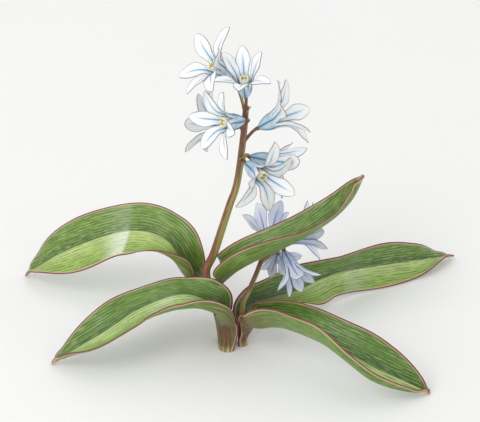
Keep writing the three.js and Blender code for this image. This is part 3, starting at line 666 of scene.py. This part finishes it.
# %% Sweep a round stalk along a line
def sweep(points, radii, rows, sides):
    """A closed round stalk along a smooth line, with a radius for each of its rows."""
    line, along, length = smooth_line(points, rows + 1)
    normal = np.zeros_like(line)
    normal[0] = unit(np.cross(along[0], [0.3, 1, 0.1]))
    for row in range(1, rows + 1):
        carried = normal[row - 1] - along[row] * np.dot(normal[row - 1], along[row])
        normal[row] = unit(carried)
    other = np.cross(along, normal)
    angle = 2 * math.pi * np.arange(sides) / sides
    spokes = (normal[:, None, :] * np.cos(angle)[None, :, None]
              + other[:, None, :] * np.sin(angle)[None, :, None])
    rings = line[:, None, :] + spokes * radii[:, None, None]
    points = np.vstack([rings.reshape(-1, 3), line[:1], line[-1:]])
    low = (np.arange(rows)[:, None] * sides + np.arange(sides)).reshape(-1)
    after = (np.arange(rows)[:, None] * sides + (np.arange(sides) + 1) % sides).reshape(-1)
    quads = np.stack([low, after, after + sides, low + sides], axis=1).tolist()
    start, end = rows * sides + sides, rows * sides + sides + 1
    caps = [(start, (s + 1) % sides, s) for s in range(sides)]
    caps += [(end, rows * sides + s, rows * sides + (s + 1) % sides) for s in range(sides)]
    places = np.repeat(np.linspace(0, 1, rows + 1), sides)
    left = -spokes[:, :, 0].reshape(-1)
    around = np.tile(angle * np.mean(radii), rows + 1)
    marks = {"stalk_place": np.concatenate([places, [0, 1]]), "stalk_left": np.append(left, [0, 0]),
             "stalk_along_mm": np.concatenate([places * length, [0, length]]),
             "stalk_around_mm": np.append(around, [0, 0])}
    return points, quads + caps, marks


def make_stalk(name, points, radii, rows, sides, material, node, red):
    """A stalk of the plant. Red says how much of its skin is red, as keys along it."""
    points, faces, marks = sweep(points, radii, rows, sides)
    marks["stalk_red"] = keyed(red, marks["stalk_place"])
    mesh_faces = np.empty(len(faces), object)
    mesh_faces[:] = faces
    return make_piece(name, points, mesh_faces, marks, material, node)


# %% [markdown]
# ## The stems' skin
# A stem is olive where the light falls and red-brown on its shaded left side, and the red spreads all
# the way round near the blooms. Fine lines run along it. Each stalk says with keys how red it is.

# %% Paint the stems
STALK_OLIVE = paint(160, 146, 82)
STALK_YELLOW = paint(176, 170, 96)
STALK_DARK = paint(92, 80, 44)
STALK_RED = paint(118, 58, 52)
STALK_PINK = paint(172, 84, 90)


def paint_stem():
    skin = Finish("stem skin", 0.45)
    place, left, red = skin.mark("stalk_place"), skin.mark("stalk_left"), skin.mark("stalk_red")
    around, along = skin.mark("stalk_around_mm"), skin.mark("stalk_along_mm")
    streaks = skin.grain(skin.times(around, 1.6), skin.times(along, 0.07), 0.0, detail=4.0)
    fine = skin.grain(skin.times(around, 5.0), skin.times(along, 0.3), 4.0, detail=2.0)
    colour = skin.lay(skin.ramp(left, 0.2, -0.9), STALK_OLIVE, STALK_YELLOW)
    colour = skin.lay(skin.times(skin.ramp(streaks, 0.4, 1.0), 0.55), colour, STALK_DARK)
    reach = skin.maths("ADD", skin.times(left, 0.55), skin.times(red, 1.3))
    reach = skin.maths("ADD", reach, skin.times(streaks, 0.35))
    blush = skin.lay(skin.ramp(place, 0.42, 0.12), STALK_RED, STALK_PINK)
    colour = skin.lay(skin.ramp(reach, 0.55, 1.05, 0, 0.92), colour, blush)
    colour = skin.lay(skin.times(skin.ramp(fine, 0.5, 1.0), 0.3), colour, STALK_YELLOW)
    return skin.done(colour, skin.maths("ADD", streaks, skin.times(fine, 0.5)), depth_mm=0.08, strength=0.4)


stem_skin = paint_stem()


def grow_stem(stem):
    rows = np.linspace(0, 1, STEM_ROWS + 1)
    radii = stem["radii"][0] + (stem["radii"][1] - stem["radii"][0]) * rows
    piece = make_stalk(stem["name"] + "_stalk", stem["path"], radii, STEM_ROWS, STEM_SIDES, stem_skin,
                       stem["name"], stem["red"])
    cut_flat(piece)
    return piece


PEDICEL_ROWS = 24
PEDICEL_SIDES = 16
PEDICEL_RADIUS = 0.62
PEDICEL_FLARE = 0.3


def grow_pedicel(bloom):
    axis = facing(bloom["bearing"], bloom["rise"])
    foot = np.array(bloom["foot"], float)
    way = [*bloom["stalk"], foot - 2.1 * axis, foot]
    rows = np.linspace(0, 1, PEDICEL_ROWS + 1)
    radii = PEDICEL_RADIUS + PEDICEL_FLARE * smoothstep(rows, 0.75, 1)
    node = "stem_tall" if bloom["petals"] == "white" else "stem_short"
    red = [[0, bloom["stalk_red"]], [1, bloom["stalk_red"]]]
    return make_stalk("pedicel_" + bloom["name"], way, radii, PEDICEL_ROWS, PEDICEL_SIDES, stem_skin, node,
                      red)


BRACT_LENGTH = 4.0
BRACT_HALF_WIDTH = 0.95
BRACT_THICKNESS = 0.3
BRACT_ROWS = 24
BRACT_COLUMNS = 10


def grow_bract(number, bract):
    """A papery scale: a pointed sheet that is hollow towards the stem and bends away at its tip."""
    share = np.linspace(0, 1, BRACT_ROWS + 1)
    q = np.linspace(-1, 1, BRACT_COLUMNS + 1)
    lift = facing(bract["bearing"], bract["rise"])
    across = unit(np.cross([0, 0, 1.0], lift))
    out = np.cross(lift, across)
    half = BRACT_HALF_WIDTH * (0.55 + 0.45 * smoothstep(share, 0, 0.3)) * (1 - share**2.5) ** 0.9 + 0.04
    middle = (np.array(bract["foot"], float) + lift * (share * BRACT_LENGTH)[:, None]
              - out * (0.5 * share**2)[:, None])
    points = (middle[:, None, :] + across * (half[:, None] * q)[:, :, None]
              + out * (0.45 * half[:, None] * q * q)[:, :, None]).reshape(-1, 3)
    count = len(points)
    marks = {
        "stalk_place": np.full(count, 0.7), "stalk_left": np.tile(0.4 * q, BRACT_ROWS + 1),
        "stalk_red": np.repeat(0.75 - 0.5 * share, BRACT_COLUMNS + 1),
        "stalk_along_mm": np.repeat(share * BRACT_LENGTH, BRACT_COLUMNS + 1),
        "stalk_around_mm": (half[:, None] * q).reshape(-1),
    }
    thickness = np.full(count, BRACT_THICKNESS)
    points, faces, marks = thickened(points, grid_quads(BRACT_ROWS, BRACT_COLUMNS), thickness, marks)
    return make_piece("bract_%d" % number, points, faces, marks, stem_skin, "stem_tall")


for number, bract in enumerate(TALL_STEM["bracts"]):
    grow_bract(number, bract)
for stem in (TALL_STEM, SHORT_STEM):
    stalk = grow_stem(stem)
    print(stalk.name, "has", len(stalk.data.polygons), "faces")
for bloom in BLOOMS:
    grow_pedicel(bloom)

# %% [markdown]
# ## Blooms
# A squill's bloom is a small bell that opens into six lobes. Bell and lobes are one sheet in the real
# flower, so they are one sheet here: rings climb the bell to its throat, and each lobe carries on
# from its own stretch of the throat.

# %% The bell and its lobes
LOBES = 6
LOBE_LENGTH = 15.0
LOBE_HALF_WIDTH = 3.2
LOBE_SPACING = 0.7
LOBE_ROWS = 30
LOBE_COLUMNS = 16
LOBE_WAVE = 0.22
LOBE_GROOVE = 0.14
LOBE_START_LEAN = 15
LOBE_TIP_HOOK = 15
LOBE_EDGE_LIFT = 0.16
LOBE_CLOSING_START = 0.5
LOBE_CLOSING = (2.2, 0.8)
BELL_LENGTH = 6.0
BELL_ROWS = 14
BELL_FOOT_RADIUS = 0.8
THROAT_RADIUS = 3.1
PETAL_THICKNESS = 0.32
LOBE_STEP = 2 * math.pi / LOBES
BELL_COLUMNS = LOBES * LOBE_COLUMNS


def bell_ring(share):
    radius = BELL_FOOT_RADIUS + (THROAT_RADIUS - BELL_FOOT_RADIUS) * math.sin(share * math.pi / 2) ** 0.8
    angle = (np.arange(BELL_COLUMNS) / LOBE_COLUMNS - 0.5) * LOBE_STEP
    height = np.full(BELL_COLUMNS, share * BELL_LENGTH)
    return np.stack([radius * np.cos(angle), radius * np.sin(angle), height], axis=1)


def lobe_line(lean):
    """How far out and how high a lobe's midline comes, row by row, and how far it leans there."""
    steps = 240
    share = (np.arange(steps) + 0.5) / steps
    angle = np.radians(LOBE_START_LEAN + (lean - LOBE_START_LEAN) * smoothstep(share, 0, 0.6)
                       + LOBE_TIP_HOOK * smoothstep(share, 0.7, 1))
    out = THROAT_RADIUS + np.concatenate([[0], np.cumsum(np.sin(angle))]) * LOBE_LENGTH / steps
    height = BELL_LENGTH + np.concatenate([[0], np.cumsum(np.cos(angle))]) * LOBE_LENGTH / steps
    return np.linspace(0, 1, steps + 1), out, height, np.concatenate([angle[:1], angle])


def lobe_points(bloom, lobe):
    """The rows of one lobe from just above the throat to the tip."""
    share = np.linspace(0, 1, LOBE_ROWS + 1)[1:]
    share[-1] = 0.998
    known, out, height, angle = lobe_line(bloom["lean"][lobe])
    out, height, angle = (np.interp(share, known, values) for values in (out, height, angle))
    azimuth = lobe * LOBE_STEP + math.radians(bloom["veer"][lobe]) * smoothstep(share, 0, 0.3)
    outward = np.stack([np.cos(azimuth), np.sin(azimuth), np.zeros_like(azimuth)], axis=1)
    sideways = np.stack([-np.sin(azimuth), np.cos(azimuth), np.zeros_like(azimuth)], axis=1)
    inward = -outward * np.cos(angle)[:, None] + np.array([0, 0, 1.0]) * np.sin(angle)[:, None]
    middle = outward * out[:, None] + np.array([0, 0, 1.0]) * height[:, None]
    root = THROAT_RADIUS * math.sin(LOBE_STEP / 2)
    half = root + (LOBE_HALF_WIDTH - root) * smoothstep(share, 0, LOBE_CLOSING_START)
    room = out * math.tan(LOBE_STEP / 2) - LOBE_SPACING * smoothstep(share, 0, 0.25)
    half = np.minimum(room, half * closed(share, LOBE_CLOSING_START, LOBE_CLOSING))
    root_cup = THROAT_RADIUS * (1 - math.cos(LOBE_STEP / 2)) * (1 - smoothstep(share, 0, 0.4))
    cup = root_cup + LOBE_EDGE_LIFT * half * smoothstep(share, 0, 0.3)
    q = np.linspace(-1, 1, LOBE_COLUMNS + 1)[None, :]
    grown = (smoothstep(share, 0.1, 0.4) * closed(share, 0.7, (2, 1)))[:, None]
    phase = 6.0 * lobe + 2.0 * ord(bloom["name"])
    wave = LOBE_WAVE * grown * np.abs(q) ** 3 * np.sin(9.0 * share[:, None] + 1.5 * np.sign(q) + phase)
    groove = -LOBE_GROOVE * grown * np.exp(-(q / 0.2) ** 2)
    rise = cup[:, None] * q * q + wave + groove
    return (middle[:, None, :] + sideways[:, None, :] * (half[:, None] * q)[:, :, None]
            + inward[:, None, :] * rise[:, :, None])


def bloom_sheet(bloom):
    """The points, quads and marks of a bloom's one sheet, standing upright on its foot."""
    shares = np.linspace(0, 1, BELL_ROWS + 1)
    rings = [bell_ring(0) * [0.15, 0.15, 1]] + [bell_ring(share) for share in shares]
    points = [*rings]
    along = [np.zeros(BELL_COLUMNS)] + [np.full(BELL_COLUMNS, share) for share in shares]
    swing = 2 * ((np.arange(BELL_COLUMNS) % LOBE_COLUMNS) / LOBE_COLUMNS) - 1
    ring_half = [np.linalg.norm(ring[0, :2]) * LOBE_STEP / 2 for ring in rings]
    side_mm = [swing * half + 20 * (np.arange(BELL_COLUMNS) // LOBE_COLUMNS) for half in ring_half]
    off_mm = [np.abs(swing) * half for half in ring_half]
    edge_mm = [np.full(BELL_COLUMNS, 9.0)] * len(rings)
    quads = []
    for row in range(len(rings) - 1):
        low = row * BELL_COLUMNS + np.arange(BELL_COLUMNS)
        after = row * BELL_COLUMNS + (np.arange(BELL_COLUMNS) + 1) % BELL_COLUMNS
        quads.append(np.stack([low, low + BELL_COLUMNS, after + BELL_COLUMNS, after], axis=1))
    throat = (len(rings) - 1) * BELL_COLUMNS
    count = len(rings) * BELL_COLUMNS
    lobe_shares = np.linspace(0, 1, LOBE_ROWS + 1)[1:]
    for lobe in range(LOBES):
        row = throat + (lobe * LOBE_COLUMNS + np.arange(LOBE_COLUMNS + 1)) % BELL_COLUMNS
        grid = lobe_points(bloom, lobe)
        points.append(grid.reshape(-1, 3))
        along.append(np.repeat(1 + lobe_shares, LOBE_COLUMNS + 1))
        q = np.linspace(-1, 1, LOBE_COLUMNS + 1)[None, :]
        half = np.linalg.norm(grid[:, -1] - grid[:, 0], axis=1)[:, None] / 2
        off_mm.append((np.abs(q) * half).reshape(-1))
        side_mm.append((q * half).reshape(-1) + 20 * lobe)
        near_throat = 9 * (1 - smoothstep(lobe_shares, 0, 0.06))[:, None]
        edge_mm.append(((1 - np.abs(q)) * half + near_throat).reshape(-1))
        numbers = np.vstack([row, count + np.arange(LOBE_ROWS * (LOBE_COLUMNS + 1)).reshape(LOBE_ROWS, -1)])
        quads.append(np.stack([numbers[:-1, :-1], numbers[1:, :-1], numbers[1:, 1:], numbers[:-1, 1:]],
                              axis=-1).reshape(-1, 4))
        count += LOBE_ROWS * (LOBE_COLUMNS + 1)
    marks = {"petal_along": np.concatenate(along), "petal_off_mm": np.concatenate(off_mm),
             "petal_edge_mm": np.concatenate(edge_mm), "petal_side_mm": np.concatenate(side_mm)}
    return np.vstack(points), np.vstack(quads), marks


def stand_bloom(points, bloom):
    """Turns a bloom that was built upright to face its way, and sets it on its foot."""
    axis = facing(bloom["bearing"], bloom["rise"])
    level = unit(np.cross([0, 0, 1.0], axis))
    basis = np.stack([level, np.cross(axis, level), axis], axis=1)
    turn = math.radians(bloom["turn"])
    spin = np.array([[math.cos(turn), -math.sin(turn), 0], [math.sin(turn), math.cos(turn), 0], [0, 0, 1]])
    return points @ (basis @ spin).T + np.array(bloom["foot"], float)


# %% [markdown]
# ## The petals' white and lilac
# A white lobe has one clear blue line down its middle, strongest at the throat and gone before the tip,
# soft grey lines beside it, painted grey shade in streaks towards the throat and along the edges, and a
# thin grey-brown edge. The bell below is teal-grey with a darker stripe under each lobe. The lilac blooms
# are painted the same way with other colours in the pots.

# %% Paint the petals
# In each set of pots, shade is both painted shade on the lobes and the colour of the fine grey lines.
WHITE_POTS = dict(
    petal=paint(250, 251, 252), shade=paint(206, 211, 222), line=paint(98, 164, 208), line_deep=paint(66, 128, 178),
    halo=paint(196, 220, 236), edge=paint(128, 120, 112), bell=paint(160, 190, 200), bell_deep=paint(92, 134, 158),
    tip=paint(250, 251, 250),
)
LILAC_POTS = dict(
    petal=paint(222, 227, 245), shade=paint(196, 204, 232), line=paint(132, 146, 206), line_deep=paint(92, 112, 172),
    halo=paint(198, 208, 238), edge=paint(122, 128, 160), bell=paint(168, 184, 214), bell_deep=paint(88, 108, 146),
    tip=paint(232, 238, 244),
)


def paint_petal(name, pots):
    petal = Finish(name, 0.55)
    along, off, side = petal.mark("petal_along"), petal.mark("petal_off_mm"), petal.mark("petal_side_mm")
    edge = petal.mark("petal_edge_mm")
    outer = petal.ramp(petal.mark("face_side"), 0.1, -0.1)
    streaks = petal.grain(petal.times(side, 2.2), petal.times(along, 1.3), outer, detail=3.0)
    fine = petal.grain(petal.times(side, 6.0), petal.times(along, 3.5), outer, detail=2.0)
    colour = petal.lay(petal.ramp(along, 1.55, 1.95), pots["petal"], pots["tip"])
    # Painted shade: grey streaks that grow towards the throat, and grey along the edges.
    towards_throat = petal.ramp(along, 1.65, 1.0)
    colour = petal.lay(petal.times(towards_throat, petal.ramp(streaks, 0.35, 0.9), 0.8), colour, pots["shade"])
    colour = petal.lay(petal.times(petal.ramp(edge, 1.3, 0.2), petal.ramp(fine, 0.3, 0.9), 0.5), colour,
                       pots["shade"])
    bell = petal.lay(petal.ramp(streaks, 0.3, 0.9, 0, 0.6), pots["bell"], pots["bell_deep"])
    bell = petal.lay(petal.times(petal.ramp(off, 0.55, 1.3), petal.ramp(along, 1.0, 0.5), 0.5), bell,
                     pots["petal"])
    colour = petal.lay(petal.times(petal.ramp(along, 1.22, 0.85), 0.85), colour, bell)
    lines = petal.times(petal.stripes(side, 0.62, 0.3), petal.ramp(fine, 0.25, 0.8), 0.45)
    colour = petal.lay(lines, colour, pots["shade"])
    fading = petal.ramp(along, 1.93, 1.5)
    colour = petal.lay(petal.times(petal.ramp(off, 1.25, 0.1), fading, 0.5), colour, pots["halo"])
    width = petal.ramp(along, 1.1, 1.9, 0.5, 0.2)
    core = petal.times(petal.ramp(off, width, petal.times(width, 0.35)), fading)
    line = petal.lay(petal.ramp(along, 1.35, 0.95), pots["line"], pots["line_deep"])
    colour = petal.lay(petal.times(core, 0.95), colour, line)
    colour = petal.lay(petal.ramp(edge, 0.26, 0.1, 0, 0.8), colour, pots["edge"])
    height = petal.maths("SUBTRACT", petal.times(fine, 0.4), petal.maths("ADD", core, lines))
    return petal.done(colour, height, depth_mm=0.08, strength=0.35)


white_petal = paint_petal("white petal", WHITE_POTS)
lilac_petal = paint_petal("lilac petal", LILAC_POTS)


def grow_bloom(bloom):
    points, quads, marks = bloom_sheet(bloom)
    thickness = np.full(len(points), PETAL_THICKNESS)
    points, faces, marks = thickened(points * bloom["size"], quads, thickness, marks)
    material = white_petal if bloom["petals"] == "white" else lilac_petal
    name = "bloom_" + bloom["name"]
    return make_piece(name + "_petals", stand_bloom(points, bloom), faces, marks, material, name)


for bloom in BLOOMS:
    petals = grow_bloom(bloom)
print("a bloom has", len(petals.data.polygons), "faces")

# %% [markdown]
# ## Crowns
# Inside each bloom stands a little crown: a toothed cup with a yellow anther in each notch and the
# green pistil in the middle.

# %% The crown's cup, anthers and pistil
CUP_FLOOR = 2.6
CUP_RIM = 9.2
CUP_FLOOR_RADIUS = 1.0
CUP_RIM_RADIUS = 1.7
CUP_TOOTH = 0.9
CUP_WALL = 0.35
CUP_COLUMNS = 72
CUP_ROWS = 14
PISTIL_ROWS = 20
PISTIL_SIDES = 24
ANTHER_RADIUS = 0.34
ANTHER_LENGTH = 1.5
OVARY_HEIGHTS = [2.8, 4.2, 6.2, 8.0, 8.9, 9.2]
OVARY_RADII = [0.5, 1.0, 1.15, 0.8, 0.3, 0.22]

CROWN_CREAM = paint(244, 238, 214)
CROWN_TOOTH = paint(250, 250, 246)
CROWN_STRIPE = paint(214, 176, 120)
PISTIL_GREEN = paint(206, 212, 150)
PISTIL_STYLE = paint(244, 240, 206)
ANTHER_YELLOW = paint(236, 216, 84)
ANTHER_OLIVE = paint(196, 178, 76)


def paint_crown():
    cream = Finish("crown cream", 0.5)
    height, around = cream.mark("cup_height"), cream.mark("cup_around")
    streaks = cream.grain(cream.times(around, 3.0), cream.times(height, 0.4), 0.0)
    colour = cream.lay(cream.ramp(height, 7.0, 9.6), CROWN_CREAM, CROWN_TOOTH)
    stripes = cream.times(cream.stripes(around, 1.0, 0.5), cream.ramp(height, 9.2, 5.5))
    colour = cream.lay(cream.times(stripes, cream.ramp(streaks, 0.1, 0.8), 0.7), colour, CROWN_STRIPE)
    return cream.done(colour, cream.maths("SUBTRACT", streaks, stripes), depth_mm=0.08, strength=0.4)


def paint_anther():
    yellow = Finish("anther yellow", 0.8)
    height = yellow.mark("anther_height")
    place = yellow.node("TexCoord").outputs["Object"]
    apart = yellow.node("SeparateXYZ")
    yellow.feed(apart.inputs[0], place)
    pollen = yellow.grain(*[yellow.times(axis, 6000.0) for axis in apart.outputs], detail=2.0)
    colour = yellow.lay(yellow.ramp(height, 9.2, 8.4, 0, 0.7), ANTHER_YELLOW, ANTHER_OLIVE)
    colour = yellow.lay(yellow.ramp(pollen, 0.6, 1.0, 0, 0.5), colour, ANTHER_OLIVE)
    return yellow.done(colour, pollen, depth_mm=0.08, strength=0.6)


def paint_pistil():
    green = Finish("pistil green", 0.4)
    height = green.mark("cup_height")
    place = green.node("TexCoord").outputs["Object"]
    apart = green.node("SeparateXYZ")
    green.feed(apart.inputs[0], place)
    dapple = green.grain(*[green.times(axis, 2500.0) for axis in apart.outputs], detail=2.0)
    colour = green.lay(green.ramp(height, 8.0, 9.0), PISTIL_GREEN, PISTIL_STYLE)
    colour = green.lay(green.times(dapple, 0.4), colour, PISTIL_STYLE)
    return green.done(colour, dapple, depth_mm=0.05, strength=0.3)


pistil_green = paint_pistil()
crown_cream = paint_crown()
anther_yellow = paint_anther()


def cup_sheet():
    angle = 2 * math.pi * np.arange(CUP_COLUMNS) / CUP_COLUMNS
    points = [np.stack([0.1 * np.cos(angle), 0.1 * np.sin(angle), np.full(CUP_COLUMNS, CUP_FLOOR)], axis=1)]
    for share in np.linspace(0, 1, CUP_ROWS + 1):
        radius = CUP_FLOOR_RADIUS + (CUP_RIM_RADIUS - CUP_FLOOR_RADIUS) * share
        height = CUP_FLOOR + (CUP_RIM - CUP_FLOOR) * share
        tooth = CUP_TOOTH * share**3 * (0.5 + 0.5 * np.cos(LOBES * angle))
        points.append(np.stack([radius * np.cos(angle), radius * np.sin(angle), height + tooth], axis=1))
    quads = []
    for row in range(len(points) - 1):
        low = row * CUP_COLUMNS + np.arange(CUP_COLUMNS)
        after = row * CUP_COLUMNS + (np.arange(CUP_COLUMNS) + 1) % CUP_COLUMNS
        quads.append(np.stack([low, low + CUP_COLUMNS, after + CUP_COLUMNS, after], axis=1))
    return np.vstack(points), np.vstack(quads)


def pistil_skin():
    """The pistil as a skin turned round the bloom's axis: a plump ovary under a short style."""
    rows = np.linspace(OVARY_HEIGHTS[0], OVARY_HEIGHTS[-1], PISTIL_ROWS + 1)
    radii = np.interp(rows, OVARY_HEIGHTS, OVARY_RADII)
    radii = np.convolve(np.pad(radii, 2, mode="edge"), np.ones(5) / 5, mode="valid")
    angle = 2 * math.pi * np.arange(PISTIL_SIDES) / PISTIL_SIDES
    swell = 1 + 0.08 * np.cos(3 * angle)
    rings = [np.stack([radius * swell * np.cos(angle), radius * swell * np.sin(angle),
                       np.full(PISTIL_SIDES, height)], axis=1) for radius, height in zip(radii, rows)]
    points = np.vstack([*rings, [[0, 0, rows[0]]], [[0, 0, rows[-1] + 0.1]]])
    low = (np.arange(PISTIL_ROWS)[:, None] * PISTIL_SIDES + np.arange(PISTIL_SIDES)).reshape(-1)
    after = (np.arange(PISTIL_ROWS)[:, None] * PISTIL_SIDES
             + (np.arange(PISTIL_SIDES) + 1) % PISTIL_SIDES).reshape(-1)
    quads = np.stack([low, after, after + PISTIL_SIDES, low + PISTIL_SIDES], axis=1).tolist()
    start, last = len(points) - 2, PISTIL_ROWS * PISTIL_SIDES
    caps = [(start, (side + 1) % PISTIL_SIDES, side) for side in range(PISTIL_SIDES)]
    caps += [(start + 1, last + side, last + (side + 1) % PISTIL_SIDES) for side in range(PISTIL_SIDES)]
    faces = np.empty(len(quads) + len(caps), object)
    faces[:] = quads + caps
    return points, faces, {"cup_height": points[:, 2]}


def grow_crown(bloom):
    points, quads = cup_sheet()
    marks = {"cup_height": points[:, 2], "cup_around": np.arctan2(points[:, 1], points[:, 0]) / LOBE_STEP}
    thickness = np.full(len(points), CUP_WALL)
    points, faces, marks = thickened(points * bloom["size"], quads, thickness, marks)
    node = "crown_" + bloom["name"]
    make_piece(node + "_cup", stand_bloom(points, bloom), faces, marks, crown_cream, node)
    anthers, anther_faces, count = [], [], 0
    ball = bmesh.new()
    bmesh.ops.create_icosphere(ball, subdivisions=2, radius=1)
    ball_points = np.array([v.co for v in ball.verts])
    ball_faces = np.array([[v.index for v in face.verts] for face in ball.faces])
    ball.free()
    for lobe in range(LOBES):
        angle = (lobe + 0.5) * LOBE_STEP
        radius = CUP_RIM_RADIUS - 0.35
        centre = np.array([radius * math.cos(angle), radius * math.sin(angle), CUP_RIM + 0.1])
        anthers.append(ball_points * [ANTHER_RADIUS, ANTHER_RADIUS, ANTHER_LENGTH / 2] + centre)
        anther_faces.append(ball_faces + count)
        count += len(ball_points)
    points = np.vstack(anthers) * bloom["size"]
    marks = {"anther_height": points[:, 2]}
    make_piece("anthers_" + bloom["name"], stand_bloom(points, bloom), np.vstack(anther_faces), marks,
               anther_yellow, node)
    points, faces, marks = pistil_skin()
    make_piece("pistil_" + bloom["name"], stand_bloom(points * bloom["size"], bloom), faces, marks,
               pistil_green, node)


for bloom in BLOOMS:
    grow_crown(bloom)
